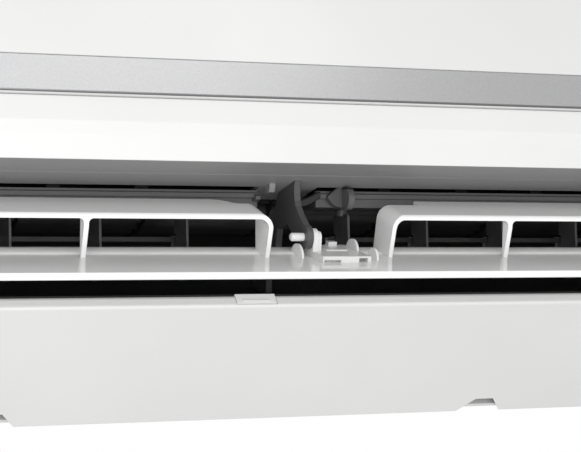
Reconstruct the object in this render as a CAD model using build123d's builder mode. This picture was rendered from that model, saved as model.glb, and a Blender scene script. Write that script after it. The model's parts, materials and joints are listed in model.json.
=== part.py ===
"""Mini split indoor unit: wall-mounted casing, coil, cross-flow fan, vanes and louver.

X runs along the unit (+X to the right as it is seen from the room), the room is
towards -Y and +Z is up. The origin lies on the wall, in the middle of the mounting
plate's four screw holes. Millimetres.
"""

import os
from math import asin, cos, degrees, hypot, radians, sin

from build123d import *

os.makedirs("parts", exist_ok=True)

# ---------------------------------------------------------------- driving dimensions

# Whole unit
unit_width = 845.0
unit_height = 290.0
unit_depth = 198.0
datum_height = 165.0  # height of the screw pattern's middle above the underside
wall_gap = 4.0  # between the wall and the casing's rear edges
casing_wall = 2.5
fit_gap = 0.3  # seats and neighbours that do not move against each other
running_gap = 0.06  # radial clearance of pins and shafts that turn

# Casing front, heights above the underside and depths in front of the wall
band_top = 106.2
band_bottom = 79.7
band_thickness = 1.4
crease_upper = (6.4 - unit_depth, 64.7)
crease_lower = (10.4 - unit_depth, 59.0)
lip_edge = (21.2 - unit_depth, 50.4)
floor_lip = (-111.6, 8.6)
bottom_bend_depth = 113.9
bezel_depth = unit_depth - 14.0
bezel_top = 112.0

# Front panel hinge
hinge_depth = unit_depth - 16.0
hinge_height = unit_height - 20.0
panel_top_radius = 16.0
panel_wall = 2.5
panel_gap = 1.2
panel_pin_radius = 2.5
panel_pin_length = 7.5
cheek_width = 12.0

# Cross-flow fan
fan_depth = 80.0
fan_height = 140.0
fan_radius = 48.0
fan_blades = 35
fan_sections = 8
fan_disc_thickness = 1.6
shaft_radius = 4.0

# Outlet duct and its side walls
bracket_x = -5.0
duct_left = 109.5 - unit_width / 2
duct_right = unit_width / 2 - 105.5
duct_wall = 2.5
slot_edge = (-128.5, 75.1)
slot_top = (-129.1, 86.1)
tongue_tip = (-118.5, 101.0)

# Louver: distances from its pivot, along the blade and square to it
pivot = (-129.0, 37.3)
louver_slope = 50.0  # below the horizontal, as the photographed louver stands
blade_front = 46.0
blade_rear = 25.5
blade_inner = 11.0
blade_thickness = 4.0
blade_crest = (-15.0, 8.8)
upper_front = 6.0
upper_rear = 22.0
upper_front_rise = 11.0
upper_rear_rise = 14.9
upper_thickness = 2.6
upper_corner = 8.0
frame_foot = 8.5
rib_depth = 7.0
rib_thickness = 2.8
rib_flare = 2.8
louver_side_gap = 1.5
half_ends = (-28.4, 46.2)  # where the louver's two upper blades end beside the middle
rib_x = (-271.8, -139.4, 122.2, 253.6)
louver_pin_radius = 2.4
bracket_thickness = 3.8
eye_radius = 6.8

# Vanes, set out from the louver's pivot
vane_tilt = 36.0
vane_pitch = 52.2
first_right_vane_x = 38.5
first_left_vane_x = -63.6
vane_front = 34.5
vane_rear = 54.0
vane_axis = 44.0
vane_bottom = -22.5
vane_top = 16.0
vane_thickness = 1.4
vane_pin_radius = 2.0
rail_bottom = 19.0
rail_top = 28.5
rail_front = 24.0
rail_rear = 47.0
link_reach = 57.5
link_pin_radius = 1.5
link_slot_gap = 0.3

# Coil
coil_thickness = 24.0
tube_radius = 3.5
tube_spacing = 19.0
coil_end_gap = 16.0

# Motor and electrics
motor_radius = 42.0
motor_length = 55.0
motor_x = duct_right + 14.0
box_width = 82.0

# Fasteners and fittings
screw_radius = 1.9
screw_head_radius = 2.9
plate_hole_radius = 2.75
plate_hole_x = 220.0
plate_hole_z = 60.0
spigot_radius = 8.0
drain_centre = (-150.0, 90.2)
pipe_hole_centre = (-20.0, 34.0)
pipe_hole_radius = 12.5
cap_centre_x = (duct_left + 23.0, -39.5, duct_right - 27.0)
hook_x = (-170.1, 146.1)

# ------------------------------------------------------------------- derived places

underside_z = -datum_height
half_width = unit_width / 2
front_depth = -unit_depth
top_height = unit_height
inner_half = half_width - casing_wall
duct_span = duct_right - duct_left
fan_centre = (-fan_depth, fan_height)
hinge_centre = (-hinge_depth, hinge_height)


def side_plane(x):
    """A plane square to X whose axes are depth and height above the underside."""
    return Plane(origin=(x, 0, underside_z), x_dir=(0, 1, 0), z_dir=(1, 0, 0))


def louver_plane(x):
    """A plane square to X on the pivot: along the open blade, then out through it."""
    slope = radians(louver_slope)
    return Plane(
        origin=(x, pivot[0], underside_z + pivot[1]),
        x_dir=(0, -cos(slope), -sin(slope)),
        z_dir=(1, 0, 0),
    )


def vane_plane(x):
    """A plane square to X on the pivot: back along the air stream, then up the vane."""
    tilt = radians(vane_tilt)
    return Plane(
        origin=(x, pivot[0], underside_z + pivot[1]),
        x_dir=(0, cos(tilt), sin(tilt)),
        z_dir=(1, 0, 0),
    )


def vane_axis_plane(x, back, up):
    """A plane square to the vanes' turning axis, through a point in a vane plane."""
    tilt = radians(vane_tilt)
    depth = pivot[0] + back * cos(tilt) - up * sin(tilt)
    height = pivot[1] + back * sin(tilt) + up * cos(tilt)
    return Plane(
        origin=(x, depth, underside_z + height),
        x_dir=(1, 0, 0),
        z_dir=(0, -sin(tilt), cos(tilt)),
    )


def finish(part, name):
    """Labels a piece and writes it as its own file."""
    part.label = name
    export_step(part, f"parts/{name}.step")
    print(name, round(part.volume))


# -------------------------------------------------------------------- mounting plate

plate_thickness = 1.5
plate_half = half_width - 92.5
plate_bottom = 12.0
plate_top = unit_height - 14.0
bead_height = wall_gap - plate_thickness
hook_height = unit_height - 32.0
hook_half = 12.0
top_hook_x = (-200.0, 0.0, 200.0)

with BuildPart() as mounting_plate:
    with BuildSketch(Plane.XZ):
        with Locations((0, underside_z + (plate_bottom + plate_top) / 2)):
            RectangleRounded(2 * plate_half, plate_top - plate_bottom, 12)
        with GridLocations(2 * plate_hole_x, 2 * plate_hole_z, 2, 2):
            Circle(plate_hole_radius, mode=Mode.SUBTRACT)
        with Locations((-120, 20), (120, 20)):
            RectangleRounded(110, 70, 10, mode=Mode.SUBTRACT)
        with GridLocations(2 * plate_hole_x - 120, plate_hole_z, 3, 3):
            SlotOverall(16, 5, mode=Mode.SUBTRACT)
    extrude(amount=plate_thickness)
    # pressed beads that carry the base's back
    for bead_x in (50.0 - plate_half, -20.0, 20.0, plate_half - 50.0):
        with BuildSketch(Plane.XZ.offset(plate_thickness)):
            with Locations((bead_x, underside_z + 150)):
                SlotOverall(180, 10, rotation=90)
        extrude(amount=bead_height)
    # hooks that the base hangs on
    for x in top_hook_x:
        with BuildSketch(side_plane(x - hook_half)):
            Polygon(
                (-plate_thickness, hook_height),
                (-10, hook_height),
                (-10, hook_height + 7),
                (-8.5, hook_height + 7),
                (-8.5, hook_height + plate_thickness),
                (-plate_thickness, hook_height + plate_thickness),
                align=None,
            )
        extrude(amount=2 * hook_half)
    # tongues behind the notches in the casing's rear edge
    for x in hook_x:
        with BuildSketch(side_plane(x - 8)):
            Polygon(
                (-plate_thickness, plate_bottom + 14),
                (-3.8, plate_bottom + 6),
                (-3.8, plate_bottom - 4),
                (-plate_thickness, plate_bottom - 4),
                (0, plate_bottom - 4),
                (0, plate_bottom + 14),
                align=None,
            )
        extrude(amount=16)
finish(mounting_plate.part, "mounting_plate")

# ----------------------------------------------------------------------- front frame

frame_rear = -wall_gap
corner_radius = 9.0
lip_pad = 3.0
notch_mouth = 32.0
notch_top = 12.0
notch_depth = 12.5
grille_front = unit_depth - 32.0
grille_rear = 24.0
grille_half = half_width - 32.0
window_left = duct_left - 21.0
window_right = duct_right - 5.0
cap_width = 24.6
cap_height = 7.2
cap_bottom = 1.5
cap_thickness = 1.2
cap_recess = 1.5
screw_height = cap_bottom + cap_height / 2
frame_front = -bezel_depth
step_height = band_bottom - panel_gap
step_front = (2.6 - unit_depth, step_height)

filter_centre = (-62.0, unit_height - 125.0)
filter_rail_radius = 112.0
filter_rail_wall = 2.2
filter_rail_width = 8.0
filter_low_height = 117.7
filter_rise = (filter_centre[1] - filter_low_height) / filter_rail_radius
filter_low_angle = 180.0 + degrees(asin(filter_rise))
rail_rear_angle = 70.0
rail_sweep = rail_rear_angle - filter_low_angle
filter_rail_x = (window_left + 4.0, -9.0, window_right - 4.0)
lens_x = half_width - 60.5
lens_height = 128.0
lens_width = 64.0
lens_tall = 12.0
button_x = half_width - 18.5
button_radius = 3.0
board_front = bezel_depth - 6.4


def polar(centre, radius, angle):
    """The point at an angle, counted from the +Y direction towards +Z."""
    return (
        centre[0] + radius * cos(radians(angle)),
        centre[1] + radius * sin(radians(angle)),
    )


lip_bend = (-bottom_bend_depth + 0.2, 4.6)
lip_crown = (-bottom_bend_depth + 0.8, 7.2)
lip_slope = (lip_edge[1] - floor_lip[1]) / (floor_lip[0] - lip_edge[0])
lip_corner_depth = bottom_bend_depth - 0.4
lip_corner = (-lip_corner_depth, floor_lip[1] + lip_slope * (lip_corner_depth + floor_lip[0]))


def frame_profile(inset):
    """The casing's outer section, or the same section drawn in by a wall."""
    with BuildSketch() as section:
        with BuildLine():
            Line((frame_rear, 0), (-bottom_bend_depth + 1.5, 0))
            ThreePointArc(
                (-bottom_bend_depth + 1.5, 0),
                (-bottom_bend_depth + 0.4, 0.5),
                (-bottom_bend_depth, 1.8),
            )
            if inset:
                Polyline((-bottom_bend_depth, 1.8), lip_corner, lip_edge)
            else:
                Line((-bottom_bend_depth, 1.8), lip_bend)
                ThreePointArc(lip_bend, lip_crown, floor_lip)
                Line(floor_lip, lip_edge)
            Line(lip_edge, crease_lower)
            Line(crease_lower, crease_upper)
            Line(crease_upper, step_front)
            Line(step_front, (frame_front, step_height))
            Line((frame_front, step_height), (frame_front, top_height - corner_radius))
            CenterArc(
                (frame_front + corner_radius, top_height - corner_radius), corner_radius, 90, 90
            )
            Line((frame_front + corner_radius, top_height), (frame_rear, top_height))
            Line((frame_rear, top_height), (frame_rear, 0))
        make_face()
        if inset:
            offset(amount=-inset, kind=Kind.INTERSECTION)
    return section.sketch


with BuildPart() as front_frame:
    with BuildSketch(side_plane(-half_width)):
        add(frame_profile(0))
    extrude(amount=unit_width)
    with BuildSketch(side_plane(-inner_half)):
        add(frame_profile(casing_wall))
    extrude(amount=2 * inner_half, mode=Mode.SUBTRACT)
    # open back
    with BuildSketch(side_plane(-inner_half)):
        Polygon(
            (frame_rear - casing_wall - 1, casing_wall),
            (frame_rear + 1, casing_wall),
            (frame_rear + 1, top_height - casing_wall),
            (frame_rear - casing_wall - 1, top_height - casing_wall),
            align=None,
        )
    extrude(amount=2 * inner_half, mode=Mode.SUBTRACT)
    # air outlet between the two lips
    with BuildSketch(side_plane(duct_left)):
        Polygon(
            (lip_edge[0] + 0.6, lip_edge[1] + 6),
            (lip_edge[0], lip_edge[1] - 0.01),
            (lip_edge[0] - 4, lip_edge[1] - 12),
            (floor_lip[0] - 8, floor_lip[1] - 0.5),
            (floor_lip[0], floor_lip[1] - 0.01),
            (floor_lip[0] + casing_wall, floor_lip[1] + 0.2),
            (floor_lip[0] + 6, floor_lip[1] + 12),
            align=None,
        )
    extrude(amount=duct_span, mode=Mode.SUBTRACT)
    # service window behind the front panel
    with BuildSketch(Plane.XZ.offset(bezel_depth - casing_wall - 6)):
        with Locations(
            ((window_left + window_right) / 2, underside_z + (bezel_top + top_height - casing_wall) / 2)
        ):
            Rectangle(window_right - window_left, top_height - casing_wall - bezel_top)
    extrude(amount=casing_wall + 8, mode=Mode.SUBTRACT)
    # room for the turning top of the front panel
    with BuildSketch(side_plane(-half_width + cheek_width)):
        with Locations(hinge_centre):
            Circle(panel_top_radius + panel_gap)
    extrude(amount=unit_width - 2 * cheek_width, mode=Mode.SUBTRACT)
    # intake opening
    with BuildSketch(Plane.XY.offset(underside_z + top_height - casing_wall - 1)):
        with Locations((0, -(grille_front + grille_rear) / 2)):
            Rectangle(2 * grille_half, grille_front - grille_rear)
    extrude(amount=casing_wall + 2, mode=Mode.SUBTRACT)
    # hinge bosses in the cheeks
    for side in (-1, 1):
        inner = side * (half_width - cheek_width)
        with BuildSketch(side_plane(min(inner, side * inner_half))):
            with Locations(hinge_centre):
                Circle(7)
        extrude(amount=cheek_width - casing_wall)
        with BuildSketch(side_plane(min(inner, side * (inner_half - 0.5)))):
            with Locations(hinge_centre):
                Circle(panel_pin_radius + running_gap)
        extrude(amount=cheek_width - casing_wall - 0.5, mode=Mode.SUBTRACT)
        # web from each boss back to the side wall's top
        with BuildSketch(side_plane(min(inner, side * inner_half))):
            Polygon(
                (-hinge_depth + 6, hinge_height + 3),
                (-hinge_depth + 12, top_height - casing_wall),
                (-hinge_depth - 1, top_height - casing_wall),
                (-hinge_depth - 1, hinge_height + 6),
                align=None,
            )
        extrude(amount=cheek_width - casing_wall)
    # arched rails that carry the filters
    for x in filter_rail_x:
        with BuildSketch(side_plane(x - filter_rail_width / 2)):
            with BuildLine():
                CenterArc(filter_centre, filter_rail_radius, filter_low_angle, rail_sweep)
                Line(
                    polar(filter_centre, filter_rail_radius, rail_rear_angle),
                    polar(filter_centre, filter_rail_radius + filter_rail_wall, rail_rear_angle),
                )
                CenterArc(
                    filter_centre,
                    filter_rail_radius + filter_rail_wall,
                    rail_rear_angle,
                    -rail_sweep,
                )
                Line(
                    polar(filter_centre, filter_rail_radius + filter_rail_wall, filter_low_angle),
                    polar(filter_centre, filter_rail_radius, filter_low_angle),
                )
            make_face()
            rear_point = polar(filter_centre, filter_rail_radius, rail_rear_angle)
            Polygon(
                (rear_point[0] - 1, rear_point[1] + 0.6),
                (rear_point[0] + 9, rear_point[1] + 0.6),
                (rear_point[0] + 9, top_height - casing_wall + 0.5),
                (-grille_rear + 0.5, top_height - casing_wall + 0.5),
                align=None,
            )
            low_point = polar(filter_centre, filter_rail_radius, filter_low_angle)
            Polygon(
                (low_point[0] - 0.5, low_point[1] + 0.5),
                (-bezel_depth + 1, bezel_top - 1),
                (-bezel_depth + 1, bezel_top - 6),
                (low_point[0] + 3, low_point[1] - 5),
                align=None,
            )
        extrude(amount=filter_rail_width)
    # display opening, board posts and button hole in the bezel
    with BuildSketch(Plane.XZ.offset(bezel_depth - casing_wall - 1)):
        with Locations((lens_x, underside_z + lens_height)):
            Rectangle(lens_width - 6, lens_tall - 2)
        with Locations((button_x, underside_z + lens_height)):
            Circle(button_radius + fit_gap)
    extrude(amount=casing_wall + 2, mode=Mode.SUBTRACT)
    with BuildSketch(Plane.XZ.offset(board_front)):
        with Locations((lens_x - lens_width / 2 - 4, underside_z + lens_height)):
            Circle(2.5)
        with Locations((button_x + 9, underside_z + lens_height + 8)):
            Circle(2.5)
    extrude(amount=bezel_depth - board_front - 1)
    # notches at the rear edge, over the mounting plate's tongues
    for x in hook_x:
        with BuildSketch(Plane.XY.offset(underside_z - 1)):
            Polygon(
                (x - notch_mouth / 2, frame_rear + 1),
                (x - notch_top / 2, frame_rear - notch_depth),
                (x + notch_top / 2, frame_rear - notch_depth),
                (x + notch_mouth / 2, frame_rear + 1),
                align=None,
            )
        extrude(amount=casing_wall + 2, mode=Mode.SUBTRACT)
    # screw pads, recesses and holes in the outlet's lower lip
    for x in cap_centre_x:
        with BuildSketch(side_plane(x - cap_width / 2 - 1)):
            Polygon(
                (-bottom_bend_depth + 2, 1),
                (-bottom_bend_depth + casing_wall + lip_pad, 1),
                (-bottom_bend_depth + casing_wall + lip_pad, floor_lip[1] - 0.1),
                (-bottom_bend_depth + 2, floor_lip[1] - 0.1),
                align=None,
            )
        extrude(amount=cap_width + 2)
        with BuildSketch(Plane.XZ.offset(bottom_bend_depth - cap_recess)):
            with Locations((x, underside_z + screw_height + 0.1)):
                Rectangle(cap_width, cap_height + 0.4)
        extrude(amount=4, mode=Mode.SUBTRACT)
        with BuildSketch(Plane.XZ.offset(bottom_bend_depth - casing_wall - 1.2)):
            with Locations((x, underside_z + screw_height)):
                Circle(screw_head_radius + fit_gap)
        extrude(amount=4, mode=Mode.SUBTRACT)
        with BuildSketch(Plane.XZ.offset(bottom_bend_depth - 12)):
            with Locations((x, underside_z + screw_height)):
                Circle(screw_radius + fit_gap)
        extrude(amount=14, mode=Mode.SUBTRACT)
finish(front_frame.part, "front_frame")

# ----------------------------------------------------------------------- intake grille

slat_width = 3.0
slat_pitch = 9.5
slat_height = 6.0
rib_count = 13
grille_border = 6.0
grille_depth = grille_front - grille_rear - 2 * fit_gap
grille_width = 2 * grille_half - 2 * fit_gap
grille_middle = -(grille_front + grille_rear) / 2
slat_count = int((grille_depth - 2 * grille_border) / slat_pitch)

with BuildPart() as intake_grille:
    with BuildSketch(Plane.XY.offset(underside_z + top_height - casing_wall)):
        with Locations((0, grille_middle)):
            Rectangle(grille_width, grille_depth)
            Rectangle(
                grille_width - 2 * grille_border, grille_depth - 2 * grille_border, mode=Mode.SUBTRACT
            )
    extrude(amount=casing_wall)
    with BuildSketch(Plane.XY.offset(underside_z + top_height - 0.6)):
        with Locations((0, grille_middle)):
            with GridLocations(0, slat_pitch, 1, slat_count):
                Rectangle(grille_width - grille_border, slat_width)
    extrude(amount=-slat_height)
    with BuildSketch(Plane.XY.offset(underside_z + top_height - casing_wall)):
        with Locations((0, grille_middle)):
            with GridLocations((grille_width - 2 * grille_border) / (rib_count + 1), 0, rib_count, 1):
                Rectangle(2, grille_depth - grille_border)
    extrude(amount=casing_wall - slat_height)
finish(intake_grille.part, "intake_grille")

# ------------------------------------------------------------------------ front panel

panel_back = unit_depth - panel_wall
panel_low_front = unit_depth - band_thickness
return_depth = bezel_depth + 1.6
arc_half = half_width - cheek_width - 1.0
arc_end_angle = 104.0
inner_arc_radius = panel_top_radius - panel_wall
lug_thickness = 3.0


with BuildPart() as front_panel:
    # flat front, thinner behind the trim band
    with BuildSketch(side_plane(-half_width)):
        Polygon(
            (-panel_low_front, band_bottom),
            (-panel_low_front, band_top + fit_gap),
            (front_depth, band_top + fit_gap),
            (front_depth, hinge_height - 8),
            (-panel_back, hinge_height - 8),
            (-panel_back, band_top + 4),
            (-panel_low_front + panel_wall, band_top),
            (-panel_low_front + panel_wall, band_bottom + 3),
            (-return_depth, band_bottom + 3),
            (-return_depth, band_bottom),
            align=None,
        )
    extrude(amount=unit_width)
    # turned-over top between the cheeks
    with BuildSketch(side_plane(-arc_half)):
        with BuildLine():
            Line((front_depth, hinge_height - 9), (front_depth, hinge_height))
            CenterArc(hinge_centre, panel_top_radius, 180, arc_end_angle - 180)
            Line(
                polar(hinge_centre, panel_top_radius, arc_end_angle),
                polar(hinge_centre, inner_arc_radius, arc_end_angle),
            )
            CenterArc(hinge_centre, inner_arc_radius, arc_end_angle, 180 - arc_end_angle)
            Line((-hinge_depth - inner_arc_radius, hinge_height), (-panel_back, hinge_height - 9))
            Line((-panel_back, hinge_height - 9), (front_depth, hinge_height - 9))
        make_face()
    extrude(amount=2 * arc_half)
    # side returns
    for side in (-1, 1):
        edge = side * half_width
        with BuildSketch(side_plane(min(edge, edge - side * panel_wall))):
            Polygon(
                (-panel_back, band_bottom),
                (-return_depth, band_bottom),
                (-return_depth, hinge_height - 20),
                (-panel_back, hinge_height - 8),
                align=None,
            )
        extrude(amount=panel_wall)
        # hinge lug and its pin
        outer = side * arc_half
        with BuildSketch(side_plane(min(outer, outer - side * lug_thickness))):
            with Locations(hinge_centre):
                Circle(inner_arc_radius + 0.5)
            Polygon(
                (-panel_back + 0.5, hinge_height),
                (-hinge_depth, hinge_height),
                (-panel_back + 0.5, hinge_height - 30),
                align=None,
            )
        extrude(amount=lug_thickness)
        with BuildSketch(side_plane(min(outer, outer + side * panel_pin_length))):
            with Locations(hinge_centre):
                Circle(panel_pin_radius)
        extrude(amount=panel_pin_length)
    # stiffening ribs
    for rib_height in (150.0, 195.0, 240.0):
        with BuildSketch(side_plane(-half_width + 20)):
            Polygon(
                (-panel_back - 0.5, rib_height),
                (-panel_back + 3.5, rib_height),
                (-panel_back + 3.5, rib_height + 2),
                (-panel_back - 0.5, rib_height + 2),
                align=None,
            )
        extrude(amount=unit_width - 40)
    # opening for the display lens
    with BuildSketch(Plane.XZ.offset(panel_back - 1)):
        with Locations((lens_x, underside_z + lens_height)):
            Rectangle(lens_width, lens_tall)
    extrude(amount=panel_wall + 2, mode=Mode.SUBTRACT)
finish(front_panel.part, "front_panel")

with BuildPart() as silver_trim:
    with BuildSketch(side_plane(-half_width)):
        Polygon(
            (-unit_depth + 0.5, band_bottom),
            (-unit_depth, band_bottom + 0.6),
            (-unit_depth, band_top - 0.6),
            (-unit_depth + 0.5, band_top),
            (-panel_low_front, band_top),
            (-panel_low_front, band_bottom),
            align=None,
        )
    extrude(amount=unit_width)
finish(silver_trim.part, "silver_trim")

with BuildPart() as display_window:
    with BuildSketch(Plane.XZ.offset(panel_back - 1)):
        with Locations((lens_x, underside_z + lens_height)):
            Rectangle(lens_width + 8, lens_tall + 8)
    extrude(amount=1)
    with BuildSketch(Plane.XZ.offset(panel_back)):
        with Locations((lens_x, underside_z + lens_height)):
            Rectangle(lens_width - 2 * fit_gap, lens_tall - 2 * fit_gap)
    extrude(amount=panel_wall - 0.2)
finish(display_window.part, "display_window")

# ------------------------------------------------------------------------- rear base

base_back = wall_gap
base_wall = 2.5
base_half = inner_half - 0.7
base_bottom = casing_wall + 0.7
base_top = unit_height - 18.0
window_gap = 0.4
scroll_top = (-22.0, unit_height - 102.0)
scroll_back = (-22.0, 150.0)
scroll_low = (-34.0, 92.0)
scroll_foot = (-62.0, 48.0)
floor_front = (-110.2, 11.1)
side_front = 20.5 - unit_depth
side_top = unit_height - 100.0
bearing_hole = 20.0
motor_hole = 16.0
pipe_channel_depth = 50.0
pipe_channel_height = 46.0
shelf_depth = 106.0
cradle_x = (duct_right + 19.0, duct_right + 57.0)
cradle_thickness = 3.0
boss_radius = 4.0


def scroll_line(thickness):
    """The air guide behind and below the fan, as a wall of a given thickness."""
    with BuildSketch() as section:
        with BuildLine():
            Line(scroll_top, scroll_back)
            ThreePointArc(scroll_back, scroll_low, scroll_foot)
            Line(scroll_foot, floor_front)
            offset(amount=thickness, side=Side.LEFT)
        make_face()
    return section.sketch


with BuildPart() as rear_base:
    # back wall
    with BuildSketch(Plane.XZ.offset(base_back)):
        with Locations((0, underside_z + (base_bottom + base_top) / 2)):
            Rectangle(2 * base_half, base_top - base_bottom)
        for x in top_hook_x:
            with Locations((x, underside_z + hook_height - 1 + 3)):
                Rectangle(2 * hook_half + 4, 5.1 + 2 * window_gap, mode=Mode.SUBTRACT)
    extrude(amount=base_wall)
    # scroll between the side walls
    with BuildSketch(side_plane(duct_left)):
        add(scroll_line(base_wall))
    extrude(amount=duct_span)
    # side walls of the air path
    for x in (duct_left - duct_wall, duct_right):
        with BuildSketch(side_plane(x)):
            Polygon(
                (-base_back - 1, base_bottom),
                (-105, base_bottom),
                (-107.6, floor_front[1] - 1.6),
                (-112.5, 20),
                (-150, 42),
                (-172, 56),
                (side_front, 62),
                (side_front, 92),
                (-160, 108),
                (-160, side_top - 12),
                (-150, side_top),
                (-base_back - 1, side_top),
                align=None,
            )
        extrude(amount=duct_wall)
    # ribs that carry the scroll, open behind for the pipes
    for x in (duct_left, -150.0, 0.0, 150.0, duct_right - base_wall):
        with BuildSketch(side_plane(x)):
            Polygon(
                (-base_back - 1, pipe_channel_height),
                (-pipe_channel_depth, pipe_channel_height),
                (-pipe_channel_depth, base_bottom),
                (-106, base_bottom),
                (-108, 10.0),
                (scroll_foot[0] - 1.0, scroll_foot[1] - 1.4),
                (scroll_low[0] - 5.0, scroll_low[1] - 16.0),
                (scroll_low[0] + 1.0, scroll_low[1]),
                (scroll_back[0] + 1.0, scroll_back[1] - 10.0),
                (scroll_top[0] + 1.0, scroll_top[1] - 1),
                (-base_back - 1, scroll_top[1] - 1),
                align=None,
            )
        extrude(amount=base_wall)
    # rear drain trough on top of the scroll
    with BuildSketch(side_plane(duct_left)):
        Polygon(
            (-base_back - 1, scroll_top[1] - base_wall),
            (scroll_top[0] - 26, scroll_top[1] - base_wall + 4),
            (scroll_top[0] - 26, scroll_top[1] + 10),
            (scroll_top[0] - 24, scroll_top[1] + 10),
            (scroll_top[0] - 24, scroll_top[1] + 6),
            (-base_back - 1, scroll_top[1]),
            align=None,
        )
    extrude(amount=duct_span)
    # bottom shelf of the motor bay
    with BuildSketch(Plane.XY.offset(underside_z + base_bottom)):
        for x, side in ((duct_right, 1), (duct_left, -1)):
            shelf_width = base_half - side * x
            with Locations((x + side * shelf_width / 2, -(base_back + shelf_depth) / 2)):
                Rectangle(shelf_width, shelf_depth - base_back)
    extrude(amount=base_wall)
    # cradles for the motor
    for x in cradle_x:
        with BuildSketch(side_plane(x)):
            Polygon(
                (-base_back - 1, base_bottom + 1),
                (-shelf_depth, base_bottom + 1),
                (-shelf_depth, 16),
                (-110, 24),
                (-110, 60),
                (-fan_depth - motor_radius - 6, fan_height),
                (-base_back - 1, fan_height),
                align=None,
            )
            with Locations(fan_centre):
                Circle(motor_radius + fit_gap, mode=Mode.SUBTRACT)
            with Locations(pipe_hole_centre):
                Circle(pipe_hole_radius, mode=Mode.SUBTRACT)
        extrude(amount=cradle_thickness)
    # pipe hole in the right side wall, drain holes in both
    with BuildSketch(side_plane(duct_right - 1 - base_wall)):
        with Locations(pipe_hole_centre):
            Circle(pipe_hole_radius)
    extrude(amount=duct_wall + base_wall + 2, mode=Mode.SUBTRACT)
    for x in (duct_left - duct_wall - 1, duct_right - 1):
        with BuildSketch(side_plane(x)):
            with Locations(drain_centre):
                Circle(spigot_radius + fit_gap)
        extrude(amount=duct_wall + 2, mode=Mode.SUBTRACT)
    # bearing seat in the left side wall
    with BuildSketch(side_plane(duct_left - 14)):
        with Locations(fan_centre):
            Circle(bearing_hole + 3)
    extrude(amount=14)
    with BuildSketch(side_plane(duct_left - 20)):
        with Locations(fan_centre):
            Circle(bearing_hole)
    extrude(amount=21, mode=Mode.SUBTRACT)
    # openings for the louver's pin and drive shaft
    for x in (duct_left - duct_wall - 1, duct_right - 1):
        with BuildSketch(side_plane(x)):
            with Locations(pivot):
                Circle(louver_pin_radius + 1)
        extrude(amount=duct_wall + 2, mode=Mode.SUBTRACT)
    # shaft hole in the right side wall
    with BuildSketch(side_plane(duct_right - 5)):
        with Locations(fan_centre):
            Circle(motor_hole)
    extrude(amount=duct_wall + 6, mode=Mode.SUBTRACT)
    # bosses behind the outlet's lower lip
    for x in cap_centre_x:
        with BuildSketch(Plane.XZ.offset(bottom_bend_depth - casing_wall - lip_pad - fit_gap)):
            with Locations((x, underside_z + (base_bottom + floor_front[1] + 1) / 2)):
                Rectangle(2 * boss_radius + 2, floor_front[1] + 1 - base_bottom)
        extrude(amount=-9)
        with BuildSketch(Plane.XZ.offset(bottom_bend_depth)):
            with Locations((x, underside_z + screw_height)):
                Circle(screw_radius + 0.02)
        extrude(amount=-20, mode=Mode.SUBTRACT)
finish(rear_base.part, "rear_base")

# ----------------------------------------------------------------------- outlet duct

ceiling_front = (lip_edge[0] + 1.8, lip_edge[1] + 3.0)
groove_point = (-150.0, 65.2)
ceiling_wall = 2.2
duct_side_gap = 0.3
duct_side_wall = 1.8
seat_x = (-22.9, 13.3)
seat_reach = 24.0
clip_x = -20.0
groove_size = 1.0
pan_bottom = 80.0

with BuildPart() as outlet_duct:
    with BuildSketch(side_plane(duct_left + duct_side_gap)):
        with BuildLine():
            Line(ceiling_front, groove_point)
            Line(groove_point, slot_edge)
            Line(slot_edge, slot_top)
            Line(slot_top, tongue_tip)
            offset(amount=ceiling_wall, side=Side.LEFT)
        make_face()
    extrude(amount=duct_span - 2 * duct_side_gap)
    # shallow groove along the ceiling
    with BuildSketch(side_plane(duct_left + duct_side_gap)):
        with Locations(groove_point):
            Rectangle(groove_size, groove_size, rotation=45)
    extrude(amount=duct_span - 2 * duct_side_gap, mode=Mode.SUBTRACT)
    # ribs on top that carry the drain pan
    for x in (-260.0, -130.0, 0.0, 130.0, 260.0):
        with BuildSketch(side_plane(x)):
            Polygon(
                (-168, 58.0),
                (-150, 66.0),
                (-136, 73.0),
                (-136, pan_bottom - fit_gap),
                (-168, pan_bottom - fit_gap),
                align=None,
            )
        extrude(amount=duct_side_wall)
    # seat of the bracket: the ceiling runs on behind the slot
    seat_slope = (slot_edge[1] - groove_point[1]) / (slot_edge[0] - groove_point[0])
    seat_end = (slot_edge[0] + seat_reach, slot_edge[1] + seat_slope * seat_reach)
    with BuildSketch(side_plane(seat_x[0])):
        Polygon(
            (slot_edge[0] - 1.0, slot_edge[1] - seat_slope),
            seat_end,
            (seat_end[0] - 0.9, seat_end[1] + 2.0),
            (slot_edge[0] - 1.0, slot_edge[1] + 2.0),
            align=None,
        )
    extrude(amount=seat_x[1] - seat_x[0])
    # clip under the seat's left edge
    with BuildSketch(side_plane(clip_x)):
        Polygon(
            (slot_edge[0] - 7.0, slot_edge[1] - 7.0 * seat_slope + 0.5),
            (slot_edge[0] + 1.0, slot_edge[1] + 1.0),
            (slot_edge[0] + 0.2, slot_edge[1] - 4.6),
            (slot_edge[0] - 2.4, slot_edge[1] - 6.0),
            (slot_edge[0] - 4.8, slot_edge[1] - 4.9),
            align=None,
        )
    extrude(amount=3.6)
    # side cheeks
    for x in (duct_left + duct_side_gap, duct_right - duct_side_gap - duct_side_wall):
        with BuildSketch(side_plane(x)):
            Polygon(
                ceiling_front,
                groove_point,
                slot_edge,
                slot_top,
                tongue_tip,
                (-86, 82),
                (-64, 62),
                (-62.5, 52.5),
                (-110.0, 15.5),
                (-112.2, 21.5),
                (-150, 43.5),
                (ceiling_front[0] + 2.5, ceiling_front[1] - 2.4),
                align=None,
            )
            with Locations(pivot):
                Circle(louver_pin_radius + running_gap, mode=Mode.SUBTRACT)
        extrude(amount=duct_side_wall)
finish(outlet_duct.part, "outlet_duct")

# -------------------------------------------------------------------- centre bracket

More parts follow.
